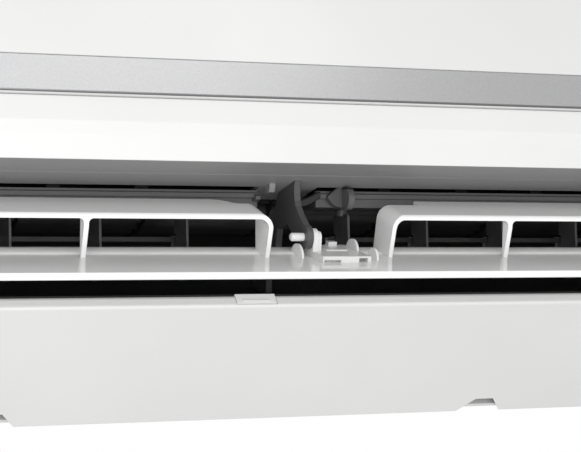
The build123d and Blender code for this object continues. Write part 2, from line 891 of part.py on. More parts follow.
# outline of the hanging plate, set out from the louver's pivot
bracket_outline = (
    (-12.7, 32.4),
    (-9.4, 30.4),
    (-6.5, 27.2),
    (-4.2, 23.6),
    (-3.2, 20.3),
    (-3.3, 14.0),
    (-5.0, 4.6),
    (5.0, 4.6),
    (10.6, 12.0),
    (12.5, 20.5),
    (20.8, 23.8),
    (24.9, 27.1),
    (34.4, 19.6),
    (40.0, 12.0),
    (50.0, 13.6),
    (56.9, 13.9),
    (61.6, 8.4),
    (66.0, 11.4),
    (73.5, 21.0),
    (73.5, 27.2),
    (58.0, 25.6),
    (40.0, 22.4),
    (33.0, 30.0),
    (27.0, 36.6),
    (19.0, 39.2),
    (10.4, 42.2),
)


def about_pivot(points):
    """Moves points set out from the pivot into a side plane."""
    return [(pivot[0] + y, pivot[1] + h) for y, h in points]


bracket_left = bracket_x - bracket_thickness / 2

with BuildPart() as center_bracket:
    with BuildSketch(side_plane(bracket_left)):
        Polygon(*about_pivot(bracket_outline), align=None)
        with Locations(pivot):
            Circle(eye_radius)
            Circle(louver_pin_radius + running_gap, mode=Mode.SUBTRACT)
        # stays below the ceiling
        with BuildLine():
            Polyline(
                (groove_point[0] - 5, groove_point[1] - 3.4 + 0.2),
                (groove_point[0], groove_point[1] - 0.02),
                (slot_edge[0], slot_edge[1] - 0.02),
                (seat_end[0], seat_end[1] - 0.02),
                (seat_end[0], slot_edge[1] + 30),
                (groove_point[0] - 5, slot_edge[1] + 30),
                close=True,
            )
        make_face(mode=Mode.SUBTRACT)
    extrude(amount=bracket_thickness)
finish(center_bracket.part, "center_bracket")

# ---------------------------------------------------------------------------- louver

louver_left = duct_left + louver_side_gap + duct_side_gap + duct_side_wall
louver_right = duct_right - louver_side_gap - duct_side_gap - duct_side_wall
bearing_x = bracket_x + bracket_thickness / 2 + 0.4
end_pin_length = 4.5
motor_pin_length = 12.0
socket_radius = 5.0
socket_depth = 9.0
frame_length = 36.0
frame_reach = 60.0
corner_cut = 7.0
fin_thickness = 1.4
upper_slope = (upper_rear_rise - upper_front_rise) / (upper_front + upper_rear)


def upper_height(along):
    """Where the upper blade's inner face lies, at a place along the louver."""
    return -(upper_front_rise + upper_slope * (upper_front - along))


def upper_planes(along):
    """A plane square to the upper blade and one that lies in its inner face."""
    start = louver_plane(0).from_local_coords((along, upper_height(along), 0))
    behind = louver_plane(0).from_local_coords((along - 10, upper_height(along - 10), 0))
    square = Plane(origin=start, x_dir=(1, 0, 0), z_dir=behind - start)
    return square, Plane(origin=start, x_dir=(1, 0, 0), z_dir=square.y_dir)


def frame_outline(left, right, inset):
    """One half's upper blade and end walls seen from the front, drawn in by an inset."""
    with BuildSketch() as outline:
        with Locations(((left + right) / 2, inset - upper_thickness + frame_reach / 2)):
            RectangleRounded(right - left - 2 * inset, frame_reach, upper_corner - inset)
    return outline.sketch


def louver_half(left, right, wall_rear):
    """The upper blade and end walls of one half, a bent sheet cut to its side outline."""
    square = upper_planes(upper_front + 1)[0]
    with BuildPart() as half:
        with BuildSketch(square):
            add(frame_outline(left, right, 0))
            add(frame_outline(left, right, upper_thickness), mode=Mode.SUBTRACT)
        extrude(amount=frame_length)
        with BuildSketch(louver_plane(left)):
            outer = upper_height(upper_front) - upper_thickness
            with BuildLine():
                Line((frame_foot, blade_inner + 1), (upper_front, upper_height(upper_front)))
                Line((upper_front, upper_height(upper_front)), (upper_front - 0.1, outer + 2.0))
                ThreePointArc(
                    (upper_front - 0.1, outer + 2.0),
                    (upper_front - 0.9, outer + 0.5),
                    (upper_front - 2.6, outer - 0.5),
                )
                Polyline(
                    (upper_front - 2.6, outer - 0.5),
                    (-upper_rear, upper_height(-upper_rear) - upper_thickness - 0.2),
                    (-upper_rear, upper_height(-upper_rear) + 1.0),
                    (corner_cut - upper_rear, upper_height(corner_cut - upper_rear) + 1.5),
                    (wall_rear, blade_inner + 1),
                    (frame_foot, blade_inner + 1),
                )
            make_face()
        extrude(amount=right - left, mode=Mode.INTERSECT)
    return half.part


def louver_rib(x):
    """A shallow rib between the blades, flared where it meets the upper one."""
    with BuildPart() as rib:
        with BuildSketch(upper_planes(upper_front + 1)[0]):
            with Locations((x + rib_thickness / 2, (frame_reach - upper_thickness) / 2)):
                Rectangle(rib_thickness, frame_reach)
            with Locations((x + rib_thickness / 2, 0)):
                Rectangle(rib_thickness + 2 * rib_flare, 2 * rib_flare)
            for side in (-1, 1):
                with Locations(
                    (x + rib_thickness / 2 + side * (rib_thickness / 2 + rib_flare), rib_flare)
                ):
                    Circle(rib_flare, mode=Mode.SUBTRACT)
        extrude(amount=frame_length)
        with BuildSketch(louver_plane(x - rib_flare)):
            Polygon(
                (frame_foot, blade_inner + 1),
                (upper_front, upper_height(upper_front)),
                (upper_front - 0.4, upper_height(upper_front) - 1),
                (upper_front - rib_depth, upper_height(upper_front - rib_depth) - 1),
                (frame_foot - rib_depth + 1, blade_inner + 1),
                align=None,
            )
        extrude(amount=rib_thickness + 2 * rib_flare, mode=Mode.INTERSECT)
    return rib.part


louver_pieces = [
    louver_half(louver_left, half_ends[0], -10.0),
    louver_half(half_ends[1], louver_right, -16.5),
]
louver_pieces += [louver_rib(x) for x in rib_x]

with BuildPart() as louver:
    # lower blade: flat in front, thicker behind, with rounded edges
    with BuildSketch(louver_plane(louver_left)):
        outer_face = blade_inner + blade_thickness
        with BuildLine():
            Line((frame_foot + 1, blade_inner), (blade_front - 1.2, blade_inner))
            ThreePointArc(
                (blade_front - 1.2, blade_inner),
                (blade_front, blade_inner + blade_thickness / 2),
                (blade_front - 1.2, outer_face),
            )
            Line((blade_front - 1.2, outer_face), (-blade_rear + 3, outer_face))
            ThreePointArc(
                (-blade_rear + 3, outer_face),
                (-blade_rear + 0.6, outer_face - 0.8),
                (-blade_rear, outer_face - 2.4),
            )
            Spline(
                (-blade_rear, outer_face - 2.4),
                (-blade_rear + 4.5, blade_crest[1] + 0.9),
                blade_crest,
                (blade_crest[0] / 3, blade_inner - 1.2),
                (frame_foot + 1, blade_inner),
                tangents=((0.2, -1), (1, 0)),
            )
        make_face()
    extrude(amount=louver_right - louver_left)
    add(louver_pieces)
    # rear corners of the upper blades, cut back beside the middle
    for end, near, far in ((half_ends[0], -39.5, -55.0), (half_ends[1], 72.0, 73.4)):
        beyond = end + (10 if far < near else -10)
        with BuildSketch(upper_planes(-upper_rear)[1]):
            with BuildLine():
                Spline((far, 0), (near, corner_cut), tangents=((near - far, 0), (near - far, 0)))
                Polyline((near, corner_cut), (beyond, corner_cut), (beyond, -4), (far, -4), (far, 0))
            make_face()
        extrude(amount=6, both=True, mode=Mode.SUBTRACT)
    # low fins on both sides of the bearing
    for x, along, height, radius in ((bracket_x - 4.7, -1.2, 12.2, 8.2), (34.0, 7.5, 11.0, 6.2)):
        with BuildSketch(louver_plane(x)):
            with Locations((along, height)):
                Circle(radius)
            with Locations((along, outer_face + 10)):
                Rectangle(30, 20.4, mode=Mode.SUBTRACT)
        extrude(amount=fin_thickness)
    # end pin in the left cheek, socket for the drive shaft on the right
    with BuildSketch(louver_plane(louver_left - end_pin_length)):
        Circle(louver_pin_radius)
    extrude(amount=end_pin_length + 1)
    with BuildSketch(louver_plane(louver_right - socket_depth - 1)):
        Circle(socket_radius)
    extrude(amount=socket_depth + 1)
    with BuildSketch(louver_plane(louver_right - socket_depth)):
        Circle(louver_pin_radius)
    extrude(amount=socket_depth + 1, mode=Mode.SUBTRACT)
finish(louver.part, "louver")

bearing_front = 20.0
bearing_rear = -16.0
bearing_height = 3.6
bearing_span = 30.1
bearing_top = blade_inner - bearing_height

with BuildPart() as louver_bearing:
    # block on the blade, cut to the blade's crest behind
    with BuildSketch(louver_plane(bearing_x)):
        Polygon(
            (bearing_front, blade_inner),
            (bearing_front, bearing_top + 0.4),
            (bearing_front - 0.4, bearing_top),
            (bearing_rear, bearing_top),
            (bearing_rear, blade_inner),
            align=None,
        )
    extrude(amount=bearing_span)
    # two stepped ears on the pin
    for x, radius, width in ((bearing_x, 5.0, 3.4), (bearing_x + 3.4, 3.4, 2.6)):
        with BuildSketch(louver_plane(x)):
            Circle(radius)
            Polygon(
                (-radius, 0),
                (radius, 0),
                (radius + 0.6, bearing_top + 0.5),
                (-radius - 0.6, bearing_top + 0.5),
                align=None,
            )
        extrude(amount=width)
    # pivot pin through the bracket's eye, with a chamfered tip
    with BuildSketch(louver_plane(bracket_x - 9.8)):
        Circle(louver_pin_radius)
    extrude(amount=bearing_x - bracket_x + 9.8 + 1)
    chamfer(faces().sort_by(Axis.X)[0].edges(), 0.8)
    # latch on the block's rear edge and low steps on its top
    with BuildSketch(louver_plane(bearing_x + 17.6)):
        with Locations((bearing_rear + 2.2, bearing_top - 0.9)):
            Rectangle(4, 3)
    extrude(amount=5.4)
    with BuildSketch(louver_plane(bearing_x + 10)):
        with Locations((-1.0, bearing_top)):
            Rectangle(7, 1.2)
    extrude(amount=13)
    # slot at the foot of the block's face, and the arch beside it
    with BuildSketch(louver_plane(bearing_x + 1)):
        with Locations((bearing_front, blade_inner - 0.7)):
            Rectangle(8, 1.6)
    extrude(amount=10.4, mode=Mode.SUBTRACT)
    with BuildSketch(louver_plane(bearing_x + 22.6)):
        with Locations((bearing_front, blade_inner - 1.3)):
            Rectangle(16, 2.7)
    extrude(amount=5.4, mode=Mode.SUBTRACT)
    # fin on the block's end
    with BuildSketch(louver_plane(bearing_x + bearing_span - fin_thickness)):
        with Locations((-4.0, bearing_top + 2)):
            Circle(7.7)
        with Locations((-4.0, bearing_top + 20.5)):
            Rectangle(40, 40, mode=Mode.SUBTRACT)
    extrude(amount=fin_thickness)
    add(louver.part, mode=Mode.SUBTRACT)
finish(louver_bearing.part, "louver_bearing")

with BuildPart() as louver_shaft:
    with BuildSketch(louver_plane(louver_right - 8.5)):
        Circle(louver_pin_radius - 0.02)
    extrude(amount=8.5 + motor_pin_length)
finish(louver_shaft.part, "louver_shaft")

# ----------------------------------------------------- vane rails, vanes and link bars

rail_rest = 14.0  # rail beyond the last vane
rail_ends = (seat_x[0] - 0.4, seat_x[1] + 0.4)
ear_x = 28.4
ear_place = (18.5, 23.6)
ear_radius = 6.6
ear_thickness = 3.9
post_back = 38.0
post_depth = 6.0
post_width = 8.0
vane_pin_length = 5.5
link_arm = 3.0
link_bottom = 0.4
link_height = 2.8
link_width = 8.0
link_end = 7.5
link_slot_length = 6.0
link_slot_shift = 0.8
link_notch_depth = 51.5
link_notch_top = 5.0


def vane_places(first, step, wall):
    """Where the vanes of one side stand, from the first one out to the duct's side wall."""
    count = int((abs(wall - first) - rail_rest) / vane_pitch) + 1
    return [first + step * n for n in range(count)]


def to_vane_plane(point):
    """Turns depth and height above the underside into a vane plane's axes."""
    tilt = radians(vane_tilt)
    depth = point[0] - pivot[0]
    height = point[1] - pivot[1]
    return (depth * cos(tilt) + height * sin(tilt), height * cos(tilt) - depth * sin(tilt))


def wall_height(back):
    """Where the duct's wall behind the slot stands above a place on the rail."""
    low = to_vane_plane(slot_top)
    high = to_vane_plane(tongue_tip)
    return low[1] + (high[1] - low[1]) * (back - low[0]) / (high[0] - low[0])


left_vane_x = vane_places(first_left_vane_x, -vane_pitch, duct_left)
right_vane_x = vane_places(first_right_vane_x, vane_pitch, duct_right)

for side, places in (("left", left_vane_x), ("right", right_vane_x)):
    if side == "left":
        start, end = min(places) - rail_rest, rail_ends[0]
    else:
        start, end = rail_ends[1], max(places) + rail_rest
    with BuildPart() as vane_rail:
        # a front band between two set-back strips
        with BuildSketch(vane_plane(start)):
            Polygon(
                (rail_front + 1.8, rail_top),
                (rail_front + 1.8, rail_top - 1.4),
                (rail_front, rail_top - 1.9),
                (rail_front, rail_top - 4.4),
                (rail_front + 2.6, rail_top - 4.6),
                (rail_front + 2.6, rail_bottom),
                (rail_rear, rail_bottom),
                (rail_rear, rail_top - 2.2),
                (rail_front + 4.2, rail_top - 2.2),
                (rail_front + 4.2, rail_top),
                align=None,
            )
        extrude(amount=end - start)
        # sockets for the vanes' pins
        for x in places:
            with BuildSketch(vane_axis_plane(x, vane_axis, rail_bottom - 1)):
                Circle(vane_pin_radius + running_gap)
            extrude(amount=vane_pin_length + 1.2, mode=Mode.SUBTRACT)
        # posts between the rail and the duct's wall above it
        for x in places[:-1]:
            outward = x + (vane_pitch / 2 if side == "right" else -vane_pitch / 2)
            with BuildSketch(vane_plane(outward - post_width / 2)):
                Polygon(
                    (post_back, rail_top - 3),
                    (post_back, wall_height(post_back) - fit_gap),
                    (post_back + post_depth, wall_height(post_back + post_depth) - fit_gap),
                    (post_back + post_depth, rail_top - 3),
                    align=None,
                )
            extrude(amount=post_width)
        if side == "right":
            # rounded ear in front of the rail
            with BuildSketch(vane_plane(ear_x)):
                with Locations(ear_place):
                    Circle(ear_radius)
                Polygon(
                    (ear_place[0], ear_place[1] + 2.6),
                    (rail_front + 1.0, rail_top - 2.0),
                    (rail_front + 3.6, rail_top - 4.0),
                    (rail_front + 3.6, rail_bottom + 1.0),
                    (ear_place[0] + 3.0, ear_place[1] - 5.2),
                    align=None,
                )
            extrude(amount=ear_thickness)
        else:
            # hooked inner end
            with BuildSketch(vane_plane(end - 3.0)):
                Polygon(
                    (rail_front + 0.5, rail_top - 2.4),
                    (rail_front - 2.6, rail_top - 3.6),
                    (rail_front - 2.6, rail_top - 5.6),
                    (rail_front + 3.0, rail_top - 7.0),
                    align=None,
                )
            extrude(amount=3.0)
    finish(vane_rail.part, f"vane_rail_{side}")

    for index, x in enumerate(places):
        with BuildPart() as vane:
            with BuildSketch(vane_plane(x - vane_thickness / 2)):
                Polygon(
                    (vane_front, vane_bottom + 2),
                    (vane_front, vane_top - 1),
                    (vane_front + 1, vane_top),
                    (vane_rear, vane_top),
                    (vane_rear, link_notch_top),
                    (link_notch_depth, link_notch_top),
                    (link_notch_depth, 0),
                    (link_reach + link_pin_radius, 0),
                    (link_reach + link_pin_radius, -link_arm),
                    (vane_rear, -link_arm),
                    (vane_rear, vane_bottom + 6),
                    (vane_rear - 6, vane_bottom),
                    (vane_front + 2, vane_bottom),
                    align=None,
                )
            extrude(amount=vane_thickness)
            # collar and pin on the turning axis
            with BuildSketch(vane_axis_plane(x, vane_axis, vane_top - 1)):
                Circle(vane_pin_radius + 1.4)
            extrude(amount=rail_bottom - vane_top + 1 - fit_gap)
            with BuildSketch(vane_axis_plane(x, vane_axis, vane_top)):
                Circle(vane_pin_radius)
            extrude(amount=rail_bottom - vane_top + vane_pin_length)
            # pin for the link bar
            with BuildSketch(vane_axis_plane(x, link_reach, -link_arm)):
                Circle(link_pin_radius)
            extrude(amount=link_arm + link_bottom + link_height + 0.8)
        finish(vane.part, f"vane_{side}_{index + 1}")

    with BuildPart() as link_bar:
        bar_length = max(places) - min(places) + 2 * link_end
        bar_middle = (min(places) + max(places)) / 2
        with BuildSketch(vane_axis_plane(bar_middle, link_reach - link_slot_shift, link_bottom)):
            RectangleRounded(bar_length, link_width, 2)
            with GridLocations(vane_pitch, 0, len(places), 1):
                SlotOverall(
                    link_slot_length,
                    2 * (link_pin_radius + link_slot_gap),
                    rotation=90,
                    mode=Mode.SUBTRACT,
                )
        extrude(amount=link_height)
    finish(link_bar.part, f"link_bar_{side}")

# ------------------------------------------------------------------- cross-flow fan

fan_left = duct_left + 6.0
fan_right = duct_right - 7.0
fan_length = fan_right - fan_left
blade_inner_radius = 37.0
blade_thickness_fan = 1.1
blade_camber = 2.6
disc_inner_radius = 33.0
hub_radius = 14.0
hub_length = 9.0
stub_out = 18.0
stub_in = 7.0

with BuildPart() as cross_flow_fan:
    # the ring of forward-curved blades, drawn once and extruded along the fan
    with BuildSketch(side_plane(fan_left)):
        with Locations(fan_centre):
            with PolarLocations(0, fan_blades):
                with BuildSketch(mode=Mode.PRIVATE) as one_blade:
                    with BuildLine():
                        ThreePointArc(
                            (blade_inner_radius - 1.5, 0),
                            ((blade_inner_radius + fan_radius) / 2, blade_camber),
                            polar((0, 0), fan_radius - 0.8, 9),
                        )
                        offset(amount=blade_thickness_fan, side=Side.LEFT)
                    make_face()
                add(one_blade.sketch)
    extrude(amount=fan_length)
    # dividing rings
    section_length = (fan_length - fan_disc_thickness) / fan_sections
    for n in range(fan_sections + 1):
        with BuildSketch(side_plane(fan_left + n * section_length)):
            with Locations(fan_centre):
                Circle(fan_radius)
                if 0 < n < fan_sections:
                    Circle(disc_inner_radius, mode=Mode.SUBTRACT)
        extrude(amount=fan_disc_thickness)
    # hub boss on the right and shaft boss on the left
    with BuildSketch(side_plane(fan_right - hub_length)):
        with Locations(fan_centre):
            Circle(hub_radius + 2.5)
    extrude(amount=hub_length)
    with BuildSketch(side_plane(fan_right - hub_length)):
        with Locations(fan_centre):
            Circle(hub_radius)
    extrude(amount=hub_length, mode=Mode.SUBTRACT)
    with BuildSketch(side_plane(fan_left)):
        with Locations(fan_centre):
            Circle(shaft_radius + 3)
    extrude(amount=stub_in + 2)
    with BuildSketch(side_plane(fan_left)):
        with Locations(fan_centre):
            Circle(shaft_radius)
    extrude(amount=stub_in, mode=Mode.SUBTRACT)
finish(cross_flow_fan.part, "cross_flow_fan")

with BuildPart() as fan_hub:
    with BuildSketch(side_plane(fan_right - hub_length + 0.1)):
        with Locations(fan_centre):
            Circle(hub_radius - 0.02)
            Circle(shaft_radius + 0.02, mode=Mode.SUBTRACT)
    extrude(amount=hub_length)
finish(fan_hub.part, "fan_hub")

with BuildPart() as fan_stub_shaft:
    with BuildSketch(side_plane(fan_left - stub_out)):
        with Locations(fan_centre):
            Circle(shaft_radius - 0.02)
    extrude(amount=stub_out + stub_in - 0.2)
finish(fan_stub_shaft.part, "fan_stub_shaft")

bush_radius = 9.0
bearing_length = 12.0

with BuildPart() as fan_bearing:
    with BuildSketch(side_plane(duct_left - 14)):
        with Locations(fan_centre):
            Circle(bush_radius)
            Circle(shaft_radius + running_gap, mode=Mode.SUBTRACT)
    extrude(amount=bearing_length)
finish(fan_bearing.part, "fan_bearing")

with BuildPart() as bearing_holder:
    with BuildSketch(side_plane(duct_left - 14)):
        with Locations(fan_centre):
            Circle(bearing_hole - 0.15)
            Circle(bush_radius + 0.02, mode=Mode.SUBTRACT)
    extrude(amount=14)
finish(bearing_holder.part, "bearing_holder")

# ------------------------------------------------------------------------- fan motor

motor_end = motor_x + motor_length
motor_boss = 14.0
boss_front = duct_right + 8.0
clamp_wall = 3.0

with BuildPart() as fan_motor:
    with BuildSketch(side_plane(motor_x)):
        with Locations(fan_centre):
            Circle(motor_radius)
    extrude(amount=motor_length)
    fillet(edges().filter_by(GeomType.CIRCLE), 4)
    for start, end in ((boss_front, motor_x + 1), (motor_end - 1, motor_end + 5)):
        with BuildSketch(side_plane(start)):
            with Locations(fan_centre):
                Circle(motor_boss)
        extrude(amount=end - start)
    with BuildSketch(side_plane(boss_front - 1)):
        with Locations(fan_centre):
            Circle(shaft_radius + running_gap)
    extrude(amount=motor_length, mode=Mode.SUBTRACT)
finish(fan_motor.part, "fan_motor")

with BuildPart() as motor_shaft:
    with BuildSketch(side_plane(fan_right - hub_length + 0.5)):
        with Locations(fan_centre):
            Circle(shaft_radius)
    extrude(amount=boss_front + motor_length - 2 - fan_right + hub_length - 0.5)
finish(motor_shaft.part, "motor_shaft")

with BuildPart() as motor_clamp:
    with BuildSketch(side_plane(cradle_x[0] - 2)):
        with Locations(fan_centre):
            Circle(motor_radius + fit_gap + clamp_wall)
            Circle(motor_radius + fit_gap, mode=Mode.SUBTRACT)
        with Locations((-fan_depth, fan_height - 50)):
            Rectangle(120, 100, mode=Mode.SUBTRACT)
        for side in (-1, 1):
            with Locations((-fan_depth + side * (motor_radius + 5), fan_height)):
                Rectangle(10, clamp_wall, align=(Align.CENTER, Align.MIN))
        with Locations(fan_centre):
            Circle(motor_radius + fit_gap, mode=Mode.SUBTRACT)
    extrude(amount=cradle_x[1] + cradle_thickness + 4 - cradle_x[0])
finish(motor_clamp.part, "motor_clamp")

# ------------------------------------------------------------------ coil and drain pan

coil_left = duct_left + coil_end_gap
coil_right = duct_right - coil_end_gap
coil_plate = 1.2
front_slab = ((-146.0, 100.0), (-153.0, unit_height - 112.0), 4)
top_slab = ((-151.0, unit_height - 101.0), (-105.0, unit_height - 40.0), 4)
rear_slab = ((-84.0, unit_height - 38.0), (-36.0, unit_height - 77.0), 3)
row_offset = 6.0


def slab_frame(slab):
    """The slab's start, its direction, its outward side and its length."""
    start, end, _ = slab
    length = hypot(end[0] - start[0], end[1] - start[1])
    along = ((end[0] - start[0]) / length, (end[1] - start[1]) / length)
    return start, along, (-along[1], along[0]), length


def slab_point(slab, distance, out):
    """A point on a slab, along it and out from its middle line."""
    start, along, outward, _ = slab_frame(slab)
    return (
        start[0] + along[0] * distance + outward[0] * out,
        start[1] + along[1] * distance + outward[1] * out,
    )


def slab_corner(slab, at_end, out):
    """A corner of a slab's section, a little beyond it."""
    length = slab_frame(slab)[3]
    return slab_point(slab, length if at_end else 0, out)


def tube_places(slab, out):
    """Where one row of tubes leaves a slab."""
    length = slab_frame(slab)[3]
    count = slab[2]
    first = (length - (count - 1) * tube_spacing) / 2
    return [slab_point(slab, first + n * tube_spacing, out) for n in range(count)]


for slab, name in ((front_slab, "front"), (top_slab, "top"), (rear_slab, "rear")):
    half = coil_thickness / 2
    with BuildPart() as evaporator:
        with BuildSketch(side_plane(coil_left)):
            Polygon(
                slab_corner(slab, False, -half),
                slab_corner(slab, True, -half),
                slab_corner(slab, True, half),
                slab_corner(slab, False, half),
                align=None,
            )
        extrude(amount=coil_right - coil_left)
    finish(evaporator.part, f"evaporator_{name}")

foot_height = scroll_top[1] + 7.0

with BuildPart() as coil_end_plates:
    half = coil_thickness / 2
    for x, side in ((coil_left - coil_plate, -1), (coil_right, 1)):
        with BuildSketch(side_plane(x)):
            for slab in (front_slab, top_slab, rear_slab):
                Polygon(
                    slab_corner(slab, False, -half),
                    slab_corner(slab, True, -half),
                    slab_corner(slab, True, half),
                    slab_corner(slab, False, half),
                    align=None,
                )
            # bridges between the slabs
            Polygon(
                slab_corner(front_slab, True, half),
                slab_corner(front_slab, True, -half),
                slab_corner(top_slab, False, -half),
                slab_corner(top_slab, False, half),
                align=None,
            )
            Polygon(
                slab_corner(top_slab, True, half),
                slab_corner(top_slab, True, -half),
                slab_corner(rear_slab, False, -half),
                slab_corner(rear_slab, False, half),
                align=None,
            )
            # feet on the side walls and in the drain pan
            Polygon(
                (-30, foot_height),
                (-44, foot_height),
                (-44, foot_height + 20),
                (-30, foot_height + 30),
                align=None,
            )
            Polygon(
                (-156, pan_bottom + 2 + fit_gap),
                (-140, pan_bottom + 2 + fit_gap),
                (-140, 101),
                (-156, 101),
                align=None,
            )
        extrude(amount=coil_plate)
        reach = duct_wall + coil_end_gap
        with BuildSketch(side_plane(min(x, x + side * reach))):
            with Locations((-37, foot_height + 0.6)):
                Rectangle(14, 1.2)
        extrude(amount=reach)
finish(coil_end_plates.part, "coil_end_plates")

with BuildPart() as coil_bends:
    for x, side in ((coil_left - coil_plate, -1), (coil_right + coil_plate, 1)):
        for slab in (front_slab, top_slab, rear_slab):
            for out in (-row_offset, row_offset):
                places = tube_places(slab, out)
                first = 0 if side > 0 else 1
                for n in range(first, len(places) - 1, 2):
                    (y0, h0), (y1, h1) = places[n], places[n + 1]
                    start = (x, y0, underside_z + h0)
                    end = (x, y1, underside_z + h1)
                    crown = (
                        x + side * tube_spacing / 2,
                        (y0 + y1) / 2,
                        underside_z + (h0 + h1) / 2,
                    )
                    with BuildLine() as bend:
                        ThreePointArc(start, crown, end)
                    with BuildSketch(Plane(origin=start, z_dir=(side, 0, 0))):
                        Circle(tube_radius)
                    sweep(path=bend.line)
finish(coil_bends.part, "coil_bends")

pan_wall = 2.0
pan_front = 21.0 - unit_depth
pan_rear = -133.5
pan_end_gap = 0.6

with BuildPart() as drain_pan:
    with BuildSketch(side_plane(duct_left + pan_end_gap)):
        Polygon(
            (pan_front, pan_bottom),
            (pan_rear, pan_bottom),
            (pan_rear, pan_bottom + 17),
            (pan_front, pan_bottom + 17),
            align=None,
        )
    extrude(amount=duct_span - 2 * pan_end_gap)
    with BuildSketch(side_plane(duct_left + pan_end_gap + pan_wall)):
        Polygon(
            (pan_front + pan_wall, pan_bottom + pan_wall),
            (pan_rear - pan_wall, pan_bottom + pan_wall),
            (pan_rear - pan_wall, pan_bottom + 18),
            (pan_front + pan_wall, pan_bottom + 18),
            align=None,
        )
    extrude(amount=duct_span - 2 * pan_end_gap - 2 * pan_wall, mode=Mode.SUBTRACT)
    with BuildSketch(side_plane(duct_left - 1)):
        with Locations(drain_centre):
            Circle(spigot_radius - 2)
    extrude(amount=duct_span + 2, mode=Mode.SUBTRACT)
finish(drain_pan.part, "drain_pan")

spigot_length = 32.0
spigot_shoulder = 3.0

with BuildPart() as drain_spigot:
    with BuildSketch(side_plane(duct_left + pan_end_gap - spigot_length)):
        with Locations(drain_centre):
            Circle(spigot_radius)
            Circle(spigot_radius - 2, mode=Mode.SUBTRACT)
    extrude(amount=spigot_length)
    # shoulder that the drain hose is pushed up to
    with BuildSketch(side_plane(duct_left - duct_wall - fit_gap - spigot_shoulder)):
        with Locations(drain_centre):
            Circle(spigot_radius + 2)
            Circle(spigot_radius - 1, mode=Mode.SUBTRACT)
    extrude(amount=spigot_shoulder)
finish(drain_spigot.part, "drain_spigot")

with BuildPart() as drain_plug:
    with BuildSketch(side_plane(duct_right - pan_end_gap - pan_wall)):
        with Locations(drain_centre):
            Circle(spigot_radius - 2.05)
    extrude(amount=9)
    with BuildSketch(side_plane(duct_right + duct_wall + fit_gap)):
        with Locations(drain_centre):
            Circle(spigot_radius + 1)
    extrude(amount=4)
finish(drain_plug.part, "drain_plug")

# ------------------------------------------------------- control box and display board

box_left = duct_right + duct_wall + fit_gap
box_bottom = 104.0
box_height = unit_height - 144.0
box_front = bezel_depth - 12.0
box_rear = box_front - 33.0
box_wall = 2.0
lid_thickness = 0.8
board_thickness = 1.6
board_stand = 6.0
block_height = 18.0

box_middle_x = box_left + box_width / 2
box_middle_z = underside_z + box_bottom + box_height / 2

with BuildPart() as control_box:
    with BuildSketch(Plane.XZ.offset(box_rear)):
        with Locations((box_middle_x, box_middle_z)):
            Rectangle(box_width, box_height)
    extrude(amount=box_front - box_rear)
    with BuildSketch(Plane.XZ.offset(box_rear + box_wall)):
        with Locations((box_middle_x, box_middle_z)):
            Rectangle(box_width - 2 * box_wall, box_height - 2 * box_wall)
    extrude(amount=box_front - box_rear, mode=Mode.SUBTRACT)
    # posts for the board
    with BuildSketch(Plane.XZ.offset(box_rear + box_wall - 0.5)):
        with Locations((box_middle_x, box_middle_z + 12)):
            with GridLocations(box_width - 16, box_height - 48, 2, 2):
                Circle(3)
    extrude(amount=board_stand - fit_gap + 0.5)
    # cable hole in the floor
    with BuildSketch(Plane.XY.offset(underside_z + box_bottom - 1)):
        with Locations((box_middle_x, -(box_front + box_rear) / 2)):
            SlotOverall(30, 12)
    extrude(amount=box_wall + 2, mode=Mode.SUBTRACT)
finish(control_box.part, "control_box")

with BuildPart() as control_box_lid:
    with BuildSketch(Plane.XZ.offset(box_front + fit_gap)):
        with Locations((box_middle_x, box_middle_z)):
            Rectangle(box_width, box_height)
            with GridLocations(8, 0, 5, 1):
                SlotOverall(40, 3, rotation=90, mode=Mode.SUBTRACT)
    extrude(amount=lid_thickness)
    # flange folded back over the box's top
    with BuildSketch(Plane.XY.offset(underside_z + box_bottom + box_height + fit_gap)):
        with Locations((box_middle_x, -box_front - fit_gap - lid_thickness + 5)):
            Rectangle(box_width - 10, 10)
    extrude(amount=lid_thickness)
    with BuildSketch(Plane.XZ.offset(box_front + fit_gap)):
        with Locations((box_middle_x, underside_z + box_bottom + box_height)):
            Rectangle(box_width - 10, 2 * (fit_gap + lid_thickness))
    extrude(amount=lid_thickness)
finish(control_box_lid.part, "control_box_lid")

board_face = box_rear + box_wall + board_stand

with BuildPart() as control_board:
    with BuildSketch(Plane.XZ.offset(board_face)):
        with Locations((box_middle_x, box_middle_z + 12)):
            Rectangle(box_width - 8, box_height - 34)
    extrude(amount=board_thickness)
    with BuildSketch(Plane.XZ.offset(board_face + board_thickness - 0.2)):
        with Locations((box_middle_x - 20, box_middle_z + 42)):
            Rectangle(26, 32)
        with Locations((box_middle_x + 18, box_middle_z + 50)):
            Rectangle(20, 15)
        with Locations((box_middle_x + 22, box_middle_z + 24)):
            Rectangle(10, 22)
        with Locations((box_middle_x - 18, box_middle_z + 4)):
            Rectangle(32, 9)
    extrude(amount=14)
    with BuildSketch(Plane.XZ.offset(board_face + board_thickness - 0.2)):
        with Locations((box_middle_x + 10, box_middle_z - 12), (box_middle_x - 20, box_middle_z - 20)):
            Circle(8)
        with Locations((box_middle_x + 26, box_middle_z - 4)):
            Circle(5)
    extrude(amount=18)
finish(control_board.part, "control_board")

terminal_count = 4

